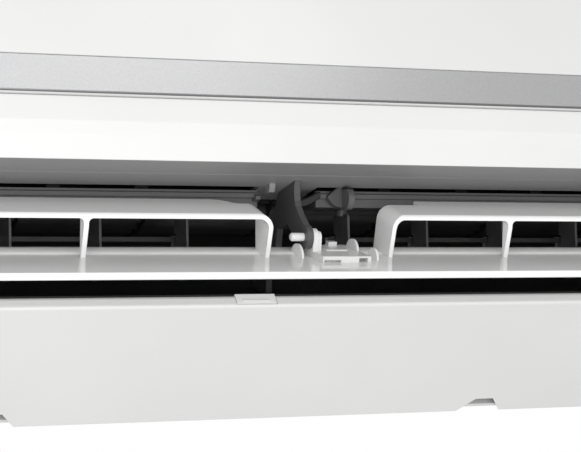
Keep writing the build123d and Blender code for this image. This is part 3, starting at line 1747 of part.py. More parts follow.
with BuildPart() as terminal_block:
    with BuildSketch(Plane.XZ.offset(box_rear + box_wall + fit_gap)):
        with Locations((box_middle_x, underside_z + box_bottom + box_wall + 1 + block_height / 2)):
            Rectangle(62, block_height)
    extrude(amount=8)
    with BuildSketch(Plane.XZ.offset(box_rear + box_wall + fit_gap + 7)):
        with Locations((box_middle_x, underside_z + box_bottom + box_wall + 1 + block_height / 2)):
            with GridLocations(14.4, 0, terminal_count + 1, 1):
                Rectangle(1.6, block_height)
    extrude(amount=9)
    with BuildSketch(Plane.XZ.offset(box_rear + box_wall + fit_gap + 7)):
        with Locations((box_middle_x, underside_z + box_bottom + box_wall + 1 + block_height / 2)):
            with GridLocations(14.4, 9, terminal_count, 2):
                Circle(3)
    extrude(amount=4)
finish(terminal_block.part, "terminal_block")

with BuildPart() as cable_clamp:
    with BuildSketch(side_plane(box_middle_x - 5)):
        Polygon(
            (-box_front + 4, box_bottom - fit_gap),
            (-box_rear - 4, box_bottom - fit_gap),
            (-box_rear - 4, box_bottom - 9),
            (-box_front + 4, box_bottom - 9),
            align=None,
        )
        with Locations((-(box_front + box_rear) / 2, box_bottom)):
            Circle(6.5, mode=Mode.SUBTRACT)
    extrude(amount=10)
finish(cable_clamp.part, "cable_clamp")

board_left = lens_x - lens_width / 2 - 7
board_right = button_x + 12

with BuildPart() as display_board:
    with BuildSketch(Plane.XZ.offset(board_front - fit_gap - board_thickness)):
        with Locations(((board_left + board_right) / 2, underside_z + lens_height + 1)):
            Rectangle(board_right - board_left, 22)
    extrude(amount=board_thickness)
    with BuildSketch(Plane.XZ.offset(board_front - fit_gap - 0.2)):
        with Locations((lens_x, underside_z + lens_height)):
            Rectangle(lens_width - 10, lens_tall - 4)
    extrude(amount=5)
    with BuildSketch(Plane.XZ.offset(board_front - fit_gap - 0.2)):
        with Locations((button_x, underside_z + lens_height)):
            Rectangle(6, 6)
    extrude(amount=1)
finish(display_board.part, "display_board")

button_proud = 0.6
button_flange = 1.2

with BuildPart() as emergency_button:
    with BuildSketch(Plane.XZ.offset(bezel_depth - casing_wall - 0.3)):
        with Locations((button_x, underside_z + lens_height)):
            Circle(button_radius)
    extrude(amount=casing_wall + 0.3 + button_proud)
    with BuildSketch(Plane.XZ.offset(bezel_depth - casing_wall - 0.3 - button_flange)):
        with Locations((button_x, underside_z + lens_height)):
            Circle(button_radius + 1.6)
    extrude(amount=button_flange)
finish(emergency_button.part, "emergency_button")

# --------------------------------------------------------------------------- filters

filter_inner = filter_rail_radius + filter_rail_wall + 0.3
filter_wall = 3.0
filter_mesh = 0.8
filter_top_angle = 80.0
filter_start_angle = filter_low_angle - 2.0
filter_rim = 4.0
filter_columns = 4
filter_rows = 4


def arc_band(inner, outer, first_angle, last_angle):
    """A band between two radii and two angles round the filters' centre."""
    with BuildSketch() as band:
        with BuildLine():
            sweep_angle = last_angle - first_angle
            CenterArc(filter_centre, inner, first_angle, sweep_angle)
            CenterArc(filter_centre, outer, first_angle, sweep_angle)
            for angle in (first_angle, last_angle):
                Line(
                    polar(filter_centre, inner, angle),
                    polar(filter_centre, outer, angle),
                )
        make_face()
    return band.sketch


for name, left, right in (
    ("filter_left", filter_rail_x[0] - 2, filter_rail_x[1] - 0.8),
    ("filter_right", filter_rail_x[1] + 0.8, filter_rail_x[2] + 2),
):
    with BuildPart() as filter_piece:
        with BuildSketch(side_plane(left)):
            add(arc_band(filter_inner, filter_inner + filter_wall, filter_top_angle, filter_start_angle))
        extrude(amount=right - left)
        # meshes between the ribs
        column = (right - left - filter_rim) / filter_columns
        row = (filter_start_angle - filter_top_angle - 2) / filter_rows
        for c in range(filter_columns):
            for r in range(filter_rows):
                with BuildSketch(side_plane(left + filter_rim + c * column)):
                    low = filter_top_angle + 2 + r * row
                    add(
                        arc_band(
                            filter_inner + filter_mesh,
                            filter_inner + filter_wall + 1,
                            low,
                            low + row - 2,
                        )
                    )
                extrude(amount=column - filter_rim, mode=Mode.SUBTRACT)
    finish(filter_piece.part, name)

# ----------------------------------------------------------- pipes, nuts, louver motor

gas_radius = 4.76
liquid_radius = 3.18
pipe_depth = 19.0
pipe_bend = 9.5
gas_column = duct_right + 33.0
liquid_column = duct_right + 47.0
gas_height = 39.5
liquid_height = 27.5
liquid_shift = 17.0
gas_end = -200.0
liquid_end = -168.0

gas_start = tube_places(rear_slab, row_offset)[-1]
liquid_start = tube_places(rear_slab, -row_offset)[-1]

with BuildPart() as refrigerant_pipes:
    for radius, start, column, height, shift, end in (
        (gas_radius, gas_start, gas_column, gas_height, 0, gas_end),
        (liquid_radius, liquid_start, liquid_column, liquid_height, liquid_shift, liquid_end),
    ):
        first = (coil_right + coil_plate, start[0], underside_z + start[1])
        points = [
            first,
            (column, start[0], underside_z + start[1]),
            (column, -pipe_depth, underside_z + start[1]),
            (column, -pipe_depth, underside_z + height),
        ]
        if shift:
            points.append((duct_right - 30, -pipe_depth, underside_z + height))
            points.append((duct_right - 60, -pipe_depth - shift, underside_z + height))
        points.append((end, -pipe_depth - shift, underside_z + height))
        with BuildLine() as route:
            FilletPolyline(*points, radius=pipe_bend)
        with BuildSketch(Plane(origin=first, z_dir=(1, 0, 0))):
            Circle(radius)
        sweep(path=route.line)
finish(refrigerant_pipes.part, "refrigerant_pipes")

gas_nut = 20.0
liquid_nut = 15.0
nut_length = 18.0

with BuildPart() as flare_nuts:
    for radius, height, shift, end, across in (
        (gas_radius, gas_height, 0, gas_end, gas_nut),
        (liquid_radius, liquid_height, liquid_shift, liquid_end, liquid_nut),
    ):
        with BuildSketch(side_plane(end - 4)):
            with Locations((-pipe_depth - shift, height)):
                RegularPolygon(across / 2, 6, major_radius=False)
                Circle(radius + 0.02, mode=Mode.SUBTRACT)
        extrude(amount=nut_length)
finish(flare_nuts.part, "flare_nuts")

step_motor_radius = 12.0
step_motor_length = 17.0

with BuildPart() as louver_motor:
    with BuildSketch(side_plane(duct_right + duct_wall + fit_gap)):
        with Locations(pivot):
            Circle(step_motor_radius)
        with Locations((pivot[0] + step_motor_radius + 1.5, pivot[1] + 3)):
            RectangleRounded(9, 7, 3)
    extrude(amount=1.5)
    with BuildSketch(side_plane(duct_right + duct_wall + fit_gap)):
        with Locations(pivot):
            Circle(step_motor_radius)
    extrude(amount=step_motor_length)
    with BuildSketch(side_plane(duct_right)):
        with Locations(pivot):
            Circle(louver_pin_radius + running_gap)
    extrude(amount=10, mode=Mode.SUBTRACT)
finish(louver_motor.part, "louver_motor")

# ---------------------------------------------------------------- screw caps and screws

cap_pivot = (-bottom_bend_depth + cap_thickness / 2, cap_bottom + 0.3 + cap_thickness / 2)
cap_top = floor_lip[1] - 0.1
bar_height = 1.0
bar_rise = 0.5

for name, x in zip(("left", "center", "right"), cap_centre_x):
    with BuildPart() as screw_cap:
        with BuildSketch(side_plane(x - cap_width / 2 + fit_gap)):
            with Locations(cap_pivot):
                Circle(cap_thickness / 2)
            Polygon(
                (cap_pivot[0] - cap_thickness / 2, cap_pivot[1]),
                (cap_pivot[0] + cap_thickness / 2, cap_pivot[1]),
                (cap_pivot[0] + cap_thickness / 2, cap_top),
                (cap_pivot[0] - cap_thickness / 2, cap_top),
                align=None,
            )
        extrude(amount=cap_width - 2 * fit_gap)
        with BuildSketch(side_plane(x - cap_width / 2 + 4)):
            Polygon(
                (cap_pivot[0] - cap_thickness / 2 + 0.1, cap_pivot[1] + 1),
                (cap_pivot[0] - cap_thickness / 2 + 0.1, cap_pivot[1] + 1 + bar_height),
                (cap_pivot[0] - cap_thickness / 2 - bar_rise, cap_pivot[1] + 1 + bar_height),
                (cap_pivot[0] - cap_thickness / 2 - bar_rise, cap_pivot[1] + 1),
                align=None,
            )
        extrude(amount=cap_width - 8)
    finish(screw_cap.part, f"screw_cap_{name}")

screw_seat = bottom_bend_depth - casing_wall - 1.2
screw_head_height = 2.0
screw_length = 11.0

with BuildPart() as frame_screws:
    for x in cap_centre_x:
        with BuildSketch(Plane.XZ.offset(screw_seat)):
            with Locations((x, underside_z + screw_height)):
                Circle(screw_head_radius)
        extrude(amount=screw_head_height)
        with BuildSketch(Plane.XZ.offset(screw_seat + 0.1)):
            with Locations((x, underside_z + screw_height)):
                Circle(screw_radius)
        extrude(amount=-screw_length)
        with BuildSketch(Plane.XZ.offset(screw_seat + screw_head_height - 1)):
            with Locations((x, underside_z + screw_height)):
                Rectangle(3.4, 0.9)
                Rectangle(0.9, 3.4)
        extrude(amount=2, mode=Mode.SUBTRACT)
finish(frame_screws.part, "frame_screws")
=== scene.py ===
import json
from math import radians

import bpy
import numpy as np
from mathutils import Matrix, Vector


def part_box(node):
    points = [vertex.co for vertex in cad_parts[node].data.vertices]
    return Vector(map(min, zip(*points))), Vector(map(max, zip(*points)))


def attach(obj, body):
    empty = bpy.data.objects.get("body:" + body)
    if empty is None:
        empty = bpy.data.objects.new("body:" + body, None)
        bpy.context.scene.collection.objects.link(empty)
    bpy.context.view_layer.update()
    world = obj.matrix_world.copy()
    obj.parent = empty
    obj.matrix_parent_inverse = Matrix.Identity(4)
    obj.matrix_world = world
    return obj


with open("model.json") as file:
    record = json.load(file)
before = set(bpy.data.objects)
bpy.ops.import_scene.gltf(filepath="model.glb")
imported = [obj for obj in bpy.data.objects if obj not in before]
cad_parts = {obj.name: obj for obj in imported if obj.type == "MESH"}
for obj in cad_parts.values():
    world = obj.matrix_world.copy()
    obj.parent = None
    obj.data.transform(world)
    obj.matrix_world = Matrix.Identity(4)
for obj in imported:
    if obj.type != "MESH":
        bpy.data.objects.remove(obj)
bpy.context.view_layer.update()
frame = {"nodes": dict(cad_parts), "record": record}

scene = bpy.context.scene
mm = 0.001
print("frame loaded:", len(frame["nodes"]), "nodes")

# the outlet's own frame, which one finish and the strips are placed by
outlet = {
    "pivot": (-129.0 * mm, -127.7 * mm),  # depth and height of the louver's pivot
    "tilt": radians(36.0),  # rise of the vanes' air stream towards the back
    "railTop": 28.6 * mm,  # above the pivot, square to the air stream
}


class Field:
    # wraps one socket, so that a Python expression on fields adds its Math nodes
    def __init__(self, paint, socket):
        self.paint = paint
        self.socket = socket

    def math(self, operation, *others):
        return self.paint.add("ShaderNodeMath", {"operation": operation}, [self, *others])

    def __add__(self, other):
        return self.math("ADD", other)

    def __sub__(self, other):
        return self.math("SUBTRACT", other)

    def __mul__(self, other):
        return self.math("MULTIPLY", other)

    def __radd__(self, other):
        return self.math("ADD", other)

    def __rmul__(self, other):
        return self.math("MULTIPLY", other)

    def __rsub__(self, other):
        return self.paint.add("ShaderNodeMath", {"operation": "SUBTRACT"}, [other, self])

    def step(self, low, high):
        # smooth rise from 0 at low to 1 at high
        settings = {"interpolation_type": "SMOOTHSTEP"}
        return self.paint.add("ShaderNodeMapRange", settings, [self, low, high, 0.0, 1.0])

    def swing(self, reach):
        # a pattern from 0 to 1 made to move half of reach either way
        return (self - 0.5) * reach

    def waves(self, pitch):
        # sine wave of this pitch along the field
        return (self * (2 * np.pi / pitch)).math("SINE")

    def output(self, label):
        # another output of the same node
        return Field(self.paint, self.socket.node.outputs[label])


class Paint:
    # one material: its node tree and its principled shader
    def __init__(self, name, **shader):
        self.material = bpy.data.materials.new(name)
        self.material.use_nodes = True
        self.tree = self.material.node_tree
        self.tree.nodes.clear()
        self.shader = self.tree.nodes.new("ShaderNodeBsdfPrincipled")
        output = self.tree.nodes.new("ShaderNodeOutputMaterial")
        self.tree.links.new(self.shader.outputs[0], output.inputs[0])
        for label, value in shader.items():
            self.shader.inputs[label.replace("_", " ")].default_value = value

    def plug(self, socket, value):
        # a colour of three numbers gets its alpha here
        if isinstance(value, Field):
            self.tree.links.new(value.socket, socket)
        elif isinstance(value, tuple) and len(value) < len(socket.default_value):
            socket.default_value = (*value, 1)
        elif value is not None:
            socket.default_value = value

    def add(self, kind, settings=None, values=(), out=0):
        # adds a node: settings first, then its sockets in order (a list) or by name
        made = self.tree.nodes.new(kind)
        for label, value in (settings or {}).items():
            setattr(made, label, value)
        pairs = values.items() if isinstance(values, dict) else enumerate(values)
        for label, value in pairs:
            self.plug(made.inputs[label], value)
        return Field(self, made.outputs[out])

    def place(self):
        return self.add("ShaderNodeTexCoord", out="Object")

    def axis(self, n):
        # one of the three object coordinates, in metres
        return self.add("ShaderNodeSeparateXYZ", values=[self.place()], out=n)

    def noise(self, scale, detail=2.0, roughness=0.5, stretch=None):
        place = self.place()
        if stretch:
            place = self.add("ShaderNodeVectorMath", {"operation": "MULTIPLY"}, [place, stretch])
        values = {"Vector": place, "Scale": scale, "Detail": detail, "Roughness": roughness}
        return self.add("ShaderNodeTexNoise", values=values)

    def cells(self, feature, scale):
        values = {"Vector": self.place(), "Scale": scale}
        return self.add("ShaderNodeTexVoronoi", {"feature": feature}, values)

    def mix(self, share, first, second):
        # colour between two colours; the node's colour sockets are numbers 6 and 7
        values = {0: share, 6: first, 7: second}
        return self.add("ShaderNodeMix", {"data_type": "RGBA"}, values, out=2)

    def finish(self, colour, roughness, height=None, depth=0.0, edge=0.0):
        # plugs the pattern in: depth is the texture's, edge the small radius that breaks edges,
        # both in mm
        self.plug(self.shader.inputs["Base Color"], colour)
        self.plug(self.shader.inputs["Roughness"], roughness)
        normal = None
        if edge:
            normal = self.add("ShaderNodeBevel", {"samples": 4}, {"Radius": edge * mm})
        if height is not None:
            values = {"Height": height, "Distance": depth * mm, "Strength": 1.0, "Normal": normal}
            normal = self.add("ShaderNodeBump", values=values)
        self.plug(self.shader.inputs["Normal"], normal)
        return self.material


def darker(tone, share):
    return tuple(share * value for value in tone)


# what all moulded plastics share
plasticLook = {
    "drift": 9.0,  # slow change of tone, in waves per metre
    "driftSwing": 0.06,  # roughness that the drift moves
    "shade": 0.97,  # share of the colour that is left where the drift is darkest
    "texture": {"detail": 3.0, "roughness": 0.6},
    "textureSwing": 0.12,  # roughness that the texture moves
    "edge": 0.5,
}

# name, colour, roughness, texture in grains per metre, its depth in mm, gloss where it isn't 0.5
plastics = {
    "casing_white": ("casingWhite", (0.77, 0.77, 0.765), 0.42, 1800.0, 0.04),
    "grille_white": ("grilleWhite", (0.78, 0.78, 0.775), 0.45, 1800.0, 0.04),
    "panel_white": ("panelWhite", (0.79, 0.79, 0.785), 0.24, 900.0, 0.01),
    "duct_grey": ("ductGrey", (0.26, 0.26, 0.26), 0.38, 1400.0, 0.04),
    "bracket_grey": ("bracketGrey", (0.085, 0.085, 0.086), 0.4, 1400.0, 0.04),
    "louver_white": ("louverWhite", (0.95, 0.95, 0.945), 0.1, 900.0, 0.003, 0.15),
    "bearing_white": ("bearingWhite", (0.88, 0.88, 0.875), 0.26, 900.0, 0.02),
    "shaft_white": ("shaftWhite", (0.78, 0.78, 0.77), 0.35, 900.0, 0.02),
    "vane_grey": ("vaneGrey", (0.10, 0.10, 0.101), 0.36, 1400.0, 0.04),
    "link_grey": ("linkGrey", (0.02, 0.02, 0.02), 0.4, 1400.0, 0.04),
    "fan_black": ("fanBlack", (0.012, 0.012, 0.012), 0.42, 1400.0, 0.03),
    "clamp_white": ("clampWhite", (0.74, 0.74, 0.72), 0.45, 1200.0, 0.04),
    "pan_white": ("panWhite", (0.74, 0.74, 0.72), 0.5, 1200.0, 0.04),
    "box_white": ("boxWhite", (0.70, 0.70, 0.68), 0.5, 1200.0, 0.04),
    "terminal_cream": ("terminalCream", (0.68, 0.64, 0.54), 0.5, 1200.0, 0.05),
    "button_white": ("buttonWhite", (0.80, 0.80, 0.79), 0.3, 900.0, 0.01),
    "cap_white": ("capWhite", (0.80, 0.80, 0.795), 0.36, 1800.0, 0.03),
}


def mouldedPlastic(name, tone, roughness, grain, depth, gloss=0.5):
    # slow tone drift, fine spark-eroded texture, and roughness that follows both
    look = plasticLook
    paint = Paint(name, Specular_IOR_Level=gloss)
    drift = paint.noise(look["drift"])
    texture = paint.noise(grain, **look["texture"])
    colour = paint.mix(drift.step(0.3, 0.7), tone, darker(tone, look["shade"]))
    rough = roughness + texture.swing(look["textureSwing"]) + drift.swing(look["driftSwing"])
    return paint.finish(colour, rough, texture, depth, look["edge"])


baseLook = {
    "outside": (0.72, 0.72, 0.715),
    # colour of the painted shade over the air guide
    "inside": (0.035, 0.035, 0.035),
    "paintedShadeStart": (-0.160, -0.158),  # height from which the painted shade shows, in metres
    "paintedShadeEnd": (-0.016, -0.013),  # distance from the wall at which it stops
    "grain": 1500.0,
    "gloss": 0.4,
}


def baseShell(name):
    # pale moulded back, with black painted shade over the air guide in front of it
    look = baseLook
    paint = Paint(name, Specular_IOR_Level=look["gloss"])
    drift = paint.noise(plasticLook["drift"])
    texture = paint.noise(look["grain"], **plasticLook["texture"])
    above = paint.axis(2).step(*look["paintedShadeStart"])
    # mask of the painted shade: above a height and in front of the wall
    paintedShade = above * (1 - paint.axis(1).step(*look["paintedShadeEnd"]))
    pale = paint.mix(drift, look["outside"], darker(look["outside"], 0.95))
    rough = 0.46 + texture.swing(plasticLook["textureSwing"]) + paintedShade * 0.2
    colour = paint.mix(paintedShade, pale, look["inside"])
    return paint.finish(colour, rough, texture, 0.05, plasticLook["edge"])


railLook = {
    "rail": (0.115, 0.115, 0.116),
    # painted shade on the posts above the rail
    "posts": (0.012, 0.012, 0.012),
    "change": 0.5 * mm,  # height over which one goes into the other
    "grain": 1400.0,
}


def railPlastic(name):
    # grey moulded rail whose posts, above its top face, are painted near black as shade
    look = railLook
    paint = Paint(name)
    texture = paint.noise(look["grain"], **plasticLook["texture"])
    depth, height = (paint.axis(n) - middle for n, middle in zip((1, 2), outlet["pivot"]))
    up = height * np.cos(outlet["tilt"]) - depth * np.sin(outlet["tilt"])
    grey = paint.mix(texture, look["rail"], darker(look["rail"], 0.9))
    # share of painted shade, from the rail's top face up
    share = up.step(outlet["railTop"], outlet["railTop"] + look["change"])
    rough = 0.4 + texture.swing(plasticLook["textureSwing"])
    return paint.finish(paint.mix(share, grey, look["posts"]), rough, texture, 0.04, 0.4)


trimLook = {
    "silver": ((0.34, 0.34, 0.345), (0.50, 0.50, 0.505)),  # darkest and lightest grain
    # painted shade of a groove along each edge: its colour, width and how much of it is laid on
    "groove": (0.16, 0.16, 0.165),
    "grooveWidth": 0.9 * mm,
    "grooveShare": 0.75,
}


def trimMetal(name):
    # silver paint with a fine metallic grain, and painted groove shade in thin bands along both
    # edges
    look = trimLook
    low, high = (corner.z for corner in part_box("silver_trim"))
    paint = Paint(name, Metallic=1.0)
    z = paint.axis(2)
    grain = paint.noise(2600.0, roughness=0.7)
    streak = paint.noise(60.0, stretch=(0.6, 1.0, 30.0))
    # band of painted groove shade along the top and bottom edges
    middle = z.step(low, low + look["grooveWidth"]) * (1 - z.step(high - look["grooveWidth"], high))
    silver = paint.mix(grain.step(0.25, 0.75), *look["silver"])
    tone = paint.mix((1 - middle) * look["grooveShare"], silver, look["groove"])
    return paint.finish(tone, 0.26 + grain * 0.12 + streak.swing(0.08), grain, 0.01)


# name, light and dark tone, roughness, and how the lines are squeezed along x, y and z
metals = {
    "shaft_steel": ("shaftSteel", (0.62, 0.62, 0.62), (0.48, 0.48, 0.48), 0.24, (6.0, 1.0, 1.0)),
    "bush_brass": ("bushBrass", (0.62, 0.44, 0.22), (0.45, 0.31, 0.15), 0.42, (1.0, 1.0, 1.0)),
    "motor_steel": ("motorSteel", (0.60, 0.61, 0.62), (0.50, 0.51, 0.52), 0.34, (0.4, 2.0, 2.0)),
    "tube_copper": ("tubeCopper", (0.80, 0.46, 0.31), (0.52, 0.27, 0.17), 0.28, (0.3, 1.0, 1.0)),
    "nut_brass": ("nutBrass", (0.80, 0.60, 0.30), (0.58, 0.42, 0.20), 0.26, (1.0, 3.0, 3.0)),
    "screw_steel": ("screwSteel", (0.62, 0.60, 0.54), (0.46, 0.44, 0.40), 0.3, (1.0, 1.0, 1.0)),
}


def brushedMetal(name, light, dark, roughness, stretch):
    # rolled or drawn metal: fine lines along one direction and slow dull patches
    paint = Paint(name, Metallic=1.0)
    lines = paint.noise(900.0, roughness=0.6, stretch=stretch)
    patch = paint.noise(26.0, detail=3.0, roughness=0.6)
    tone = paint.mix(lines * 0.6 + patch * 0.4, dark, light)
    rough = roughness + lines.swing(0.16) + patch.swing(0.14)
    return paint.finish(tone, rough, lines, 0.01, 0.3)


def galvanisedSteel(name):
    # zinc spangle: flat crystals of slightly different grey, 160 per metre
    paint = Paint(name, Metallic=1.0)
    crystal = paint.cells("F1", 160.0)
    shade = paint.add("ShaderNodeSeparateColor", values=[crystal.output("Color")])
    fine = paint.noise(1800.0, roughness=0.6)
    tone = paint.mix(shade, (0.46, 0.48, 0.49), (0.66, 0.68, 0.69))
    rough = 0.34 + shade * 0.16 + fine.swing(0.06)
    return paint.finish(tone, rough, crystal + fine * 0.2, 0.01, 0.3)


def mouldedRubber(name):
    # matt black rubber with a dusty bloom
    paint = Paint(name, Specular_IOR_Level=0.35)
    bloom = paint.noise(70.0, detail=3.0, roughness=0.6)
    fine = paint.noise(1500.0, roughness=0.6)
    tone = paint.mix(bloom.step(0.35, 0.75), (0.022, 0.022, 0.022), (0.05, 0.05, 0.048))
    return paint.finish(tone, 0.72 + bloom * 0.15, fine, 0.03, 0.5)


finLook = {
    "pitch": 1.4 * mm,  # from fin to fin along the coil
    # painted shade between the fins
    "shadedGap": (0.10, 0.13, 0.17),
    "fin": (0.60, 0.66, 0.73),
    # painted highlight of bent fins, and how much of it is laid on
    "bent": (0.80, 0.83, 0.86),
    "bentShare": 0.4,
    "depth": 0.4,
}


def coolantFins(name):
    # coated aluminium fins, with painted shade in the gaps between them and a painted highlight in
    # random patches, as on bent fins
    look = finLook
    paint = Paint(name, Metallic=1.0)
    fin = paint.axis(0).waves(look["pitch"]).step(-0.2, 0.5)
    # random patches that get the painted highlight
    bent = paint.noise(55.0, detail=3.0, roughness=0.6, stretch=(1.0, 0.3, 0.3))
    tone = paint.mix(fin, look["shadedGap"], look["fin"])
    tone = paint.mix(bent.step(0.62, 0.75) * look["bentShare"], tone, look["bent"])
    return paint.finish(tone, 0.38 + bent * 0.12, fin, look["depth"])


filterLook = {
    "pitch": 1.2 * mm,  # from thread to thread
    # painted shade seen between the threads
    "shadedGap": (0.07, 0.075, 0.08),
    "thread": (0.24, 0.25, 0.26),
    "dust": (0.36, 0.35, 0.33),
    "dustShare": 0.3,
    "depth": 0.3,
}


def filterMesh(name):
    # woven net of threads, with some dust, on the filter's frame, and painted shade between the
    # threads
    look = filterLook
    paint = Paint(name)
    x, y, z = (paint.axis(n) for n in range(3))
    along, rising, falling = (field.waves(look["pitch"]) for field in (x, y + z, y - z))
    thread = along.math("MAXIMUM", rising.math("MAXIMUM", falling)).step(0.1, 0.75)
    dust = paint.noise(30.0, detail=4.0, roughness=0.65)
    tone = paint.mix(thread, look["shadedGap"], look["thread"])
    tone = paint.mix(dust.step(0.55, 0.8) * look["dustShare"], tone, look["dust"])
    return paint.finish(tone, 0.62 + dust * 0.1, thread, look["depth"])


def circuitBoard(name):
    # green lacquer, lighter over the copper tracks
    paint = Paint(name, Coat_Weight=0.4, Coat_Roughness=0.12)
    fine = paint.noise(700.0)
    tracks = 1 - paint.cells("DISTANCE_TO_EDGE", 190.0).step(0.03, 0.09)
    tone = paint.mix(tracks, (0.018, 0.11, 0.045), (0.05, 0.24, 0.10))
    return paint.finish(tone, 0.32 + fine.swing(0.1), tracks, 0.05)


def smokedLens(name):
    # smoked plastic with a faint milky drift inside
    paint = Paint(name, Coat_Weight=0.5, Coat_Roughness=0.05)
    drift = paint.noise(40.0)
    tone = paint.mix(drift, (0.56, 0.565, 0.57), (0.63, 0.635, 0.64))
    return paint.finish(tone, 0.14 + drift * 0.06)


# one finish for each material slot of the record
finishes = {
    "trim_silver": trimMetal("trimSilver"),
    "lens_smoke": smokedLens("lensSmoke"),
    "base_black": baseShell("baseBlack"),
    "rail_grey": railPlastic("railGrey"),
    "rubber_black": mouldedRubber("rubberBlack"),
    "fin_aluminium": coolantFins("finAluminium"),
    "plate_steel": galvanisedSteel("plateSteel"),
    "board_green": circuitBoard("boardGreen"),
    "filter_grey": filterMesh("filterGrey"),
}
finishes.update({slot: mouldedPlastic(*row) for slot, row in plastics.items()})
finishes.update({slot: brushedMetal(*row) for slot, row in metals.items()})

slotOf = {part["node"]: part["material_slot"] for part in frame["record"]["subparts"]}
for nodeName, node in frame["nodes"].items():
    node.data.materials.clear()
    node.data.materials.append(finishes[slotOf[nodeName]])
print("finishes made:", len(finishes))

# two thin strips beside the right vane rail, in mm: back is behind the pivot along the air
# stream, and upper and lower are the edges' heights above it at each place across
railArm = {
    "back": (22.4, 26.5),
    "across": (2.4, 6.4, 9.8, 12.5, 15.0),
    "upper": (23.1, 24.2, 25.7, 27.2, 27.9),
    "lower": (18.5, 19.5, 21.1, 22.6, 23.8),
}
earWeb = {
    "back": (21.5, 25.0),
    "across": (19.4, 21.4, 23.3, 25.9, 28.6, 30.5),
    "upper": (25.4, 27.1, 28.5, 30.4, 32.0, 32.6),
    "lower": (24.2, 21.5, 19.6, 18.9, 18.6, 18.6),
}
stripShape = {
    "rim": 0.6,  # mm of chamfer along the edges
    "steps": 41,
    "smoothing": 4,  # rounds of softening of the two edges
}


def makeStrip(name, shape, body, slot):
    # ring(t): an eight-sided section, half the edges' gap high, carried along their middle line
    across = shape["across"]
    t = np.linspace(across[0], across[-1], stripShape["steps"])
    edges = np.stack([np.interp(t, across, shape[k]) for k in ("upper", "lower")])
    for _ in range(stripShape["smoothing"]):
        edges[:, 1:-1] = (edges[:, :-2] + 2 * edges[:, 1:-1] + edges[:, 2:]) / 4
    middle, half = edges.mean(0), (edges[0] - edges[1]) / 2
    front, rear = shape["back"]
    rim = stripShape["rim"]
    back = np.array([front, front + rim, rear - rim, rear, rear, rear - rim, front + rim, front])
    side = np.array([1, 1, 1, 1, -1, -1, -1, -1])
    cut = np.array([1, 0, 0, 1, 1, 0, 0, 1]) * np.minimum(rim, half[:, None] / 2)
    up = middle[:, None] + side * (half[:, None] - cut)
    cosine, sine = np.cos(outlet["tilt"]), np.sin(outlet["tilt"])
    x = np.repeat(t[:, None], side.size, 1) * mm
    y = outlet["pivot"][0] + (back * cosine - up * sine) * mm
    z = outlet["pivot"][1] + (back * sine + up * cosine) * mm
    index = np.arange(x.size).reshape(x.shape)
    turned = np.roll(index, -1, 1)
    around = np.stack([index[:-1], index[1:], turned[1:], turned[:-1]], -1).reshape(-1, 4)
    faces = around.tolist() + [index[0].tolist(), index[-1, ::-1].tolist()]
    mesh = bpy.data.meshes.new(name)
    mesh.from_pydata(np.stack([x, y, z], -1).reshape(-1, 3).tolist(), [], faces)
    mesh.materials.append(finishes[slot])
    piece = bpy.data.objects.new(name, mesh)
    scene.collection.objects.link(piece)
    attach(piece, body)


makeStrip("rail_arm", railArm, "casing", "link_grey")
makeStrip("ear_web", earWeb, "casing", "bracket_grey")
print("strips beside the right vane rail made")

stage = {
    "floorDrop": 3.0,  # floor below the wall screws, in metres
    "floorSize": 12.0,
    "floorAhead": 1.0,  # the floor's middle in front of the wall
    "floorLines": 9,  # grid lines each way
    "floorColour": (0.86, 0.86, 0.86),
    "worldStrength": 0.6,
}

# soft lamps: power in watts, size, place and the point each one faces, in metres
lamps = {
    "frontLamp": (8.5, (1.8, 1.0), (-0.5, -1.9, -0.7), (0.0, -0.15, -0.12)),
    "bandLamp": (1.0, (0.85, 0.3), (0.03, -0.91, 0.63), (-0.15, -0.2, -0.07)),
    "underLamp": (12.7, (1.6, 1.0), (-0.4, -0.8, -1.25), (-0.1, -0.12, -0.12)),
}

view = {
    "yaw": 24.0,  # degrees round the vertical, from straight at the wall
    "pitch": 40.0,  # degrees above the horizontal that the camera looks up
    "roll": 0.3024,  # degrees that the picture is turned
    "lens": 127.84,  # mm on the sensor's width
    "sensor": 36.0,
    "place": (-488.63, -948.43, -807.21),  # mm
    "clip": (0.05, 50.0),  # nearest and farthest that it sees, in metres
}


def makeFloor():
    # point(i, j): an even grid
    size, count = stage["floorSize"], stage["floorLines"]
    across = np.linspace(-size / 2, size / 2, count)
    x, y = np.meshgrid(across, across)
    z = np.full_like(x, -stage["floorDrop"])
    points = np.stack([x, y - stage["floorAhead"], z], -1).reshape(-1, 3)
    index = np.arange(x.size).reshape(x.shape)
    faces = np.stack([index[:-1, :-1], index[:-1, 1:], index[1:, 1:], index[1:, :-1]], -1)
    mesh = bpy.data.meshes.new("studioFloor")
    mesh.from_pydata(points.tolist(), [], faces.reshape(-1, 4).tolist())
    paint = Paint("floorPale", Specular_IOR_Level=0.1)
    mesh.materials.append(paint.finish(stage["floorColour"], 0.9 + paint.noise(3.0) * 0.05))
    floor = bpy.data.objects.new("studioFloor", mesh)
    scene.collection.objects.link(floor)


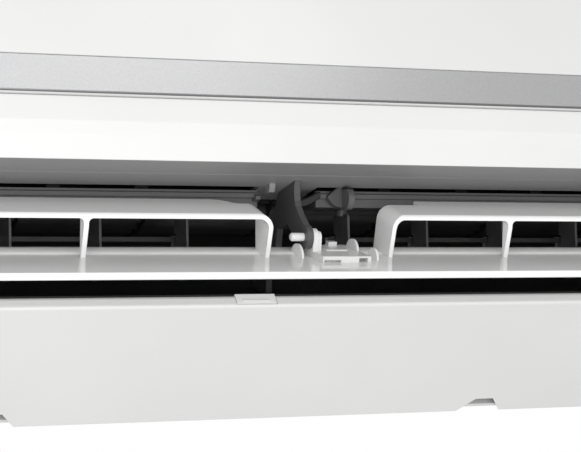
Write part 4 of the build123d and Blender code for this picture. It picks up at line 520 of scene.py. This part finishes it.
def makeWorld():
    # even light all round, and plain white where the camera, a mirror or glass looks at it
    world = bpy.data.worlds.new("studio")
    scene.world = world
    world.use_nodes = True
    nodes, links = world.node_tree.nodes, world.node_tree.links
    path = nodes.new("ShaderNodeLightPath")
    light, white = nodes["Background"], nodes.new("ShaderNodeBackground")
    both = nodes.new("ShaderNodeMixShader")
    seen = path.outputs["Is Camera Ray"]
    for label in ("Is Glossy Ray", "Is Transmission Ray"):
        most = nodes.new("ShaderNodeMath")
        most.operation = "MAXIMUM"
        links.new(path.outputs[label], most.inputs[0])
        links.new(seen, most.inputs[1])
        seen = most.outputs[0]
    light.inputs["Color"].default_value = (1, 1, 1, 1)
    light.inputs["Strength"].default_value = stage["worldStrength"]
    white.inputs["Color"].default_value = (1, 1, 1, 1)
    links.new(seen, both.inputs[0])
    links.new(light.outputs[0], both.inputs[1])
    links.new(white.outputs[0], both.inputs[2])
    links.new(both.outputs[0], nodes["World Output"].inputs[0])


def makeLamp(name, power, size, place, target):
    data = bpy.data.lights.new(name, "AREA")
    data.shape = "RECTANGLE"
    data.size, data.size_y = size
    data.energy = power
    lamp = bpy.data.objects.new(name, data)
    lamp.location = place
    lamp.rotation_euler = (Vector(target) - Vector(place)).to_track_quat("-Z", "Y").to_euler()
    scene.collection.objects.link(lamp)


def makeCamera():
    yaw, pitch, roll = (radians(view[k]) for k in ("yaw", "pitch", "roll"))
    ahead = Vector((np.sin(yaw), np.cos(yaw) * np.cos(pitch), np.cos(yaw) * np.sin(pitch)))
    right = Vector((np.cos(yaw), -np.sin(yaw) * np.cos(pitch), -np.sin(yaw) * np.sin(pitch)))
    up = Vector((0.0, -np.sin(pitch), np.cos(pitch)))
    turnedRight = right * np.cos(roll) + up * np.sin(roll)
    turnedUp = up * np.cos(roll) - right * np.sin(roll)
    data = bpy.data.cameras.new("photoCamera")
    data.sensor_width = view["sensor"]
    data.lens = view["lens"]
    data.clip_start, data.clip_end = view["clip"]
    camera = bpy.data.objects.new("photoCamera", data)
    turn = Matrix((turnedRight, turnedUp, -ahead)).transposed().to_4x4()
    camera.matrix_world = Matrix.Translation(Vector(view["place"]) * mm) @ turn
    scene.collection.objects.link(camera)
    scene.camera = camera


makeFloor()
makeWorld()
for lampName, lamp in lamps.items():
    makeLamp(lampName, *lamp)
makeCamera()
scene.view_settings.view_transform = "Standard"
print("stage, lamps and camera made")
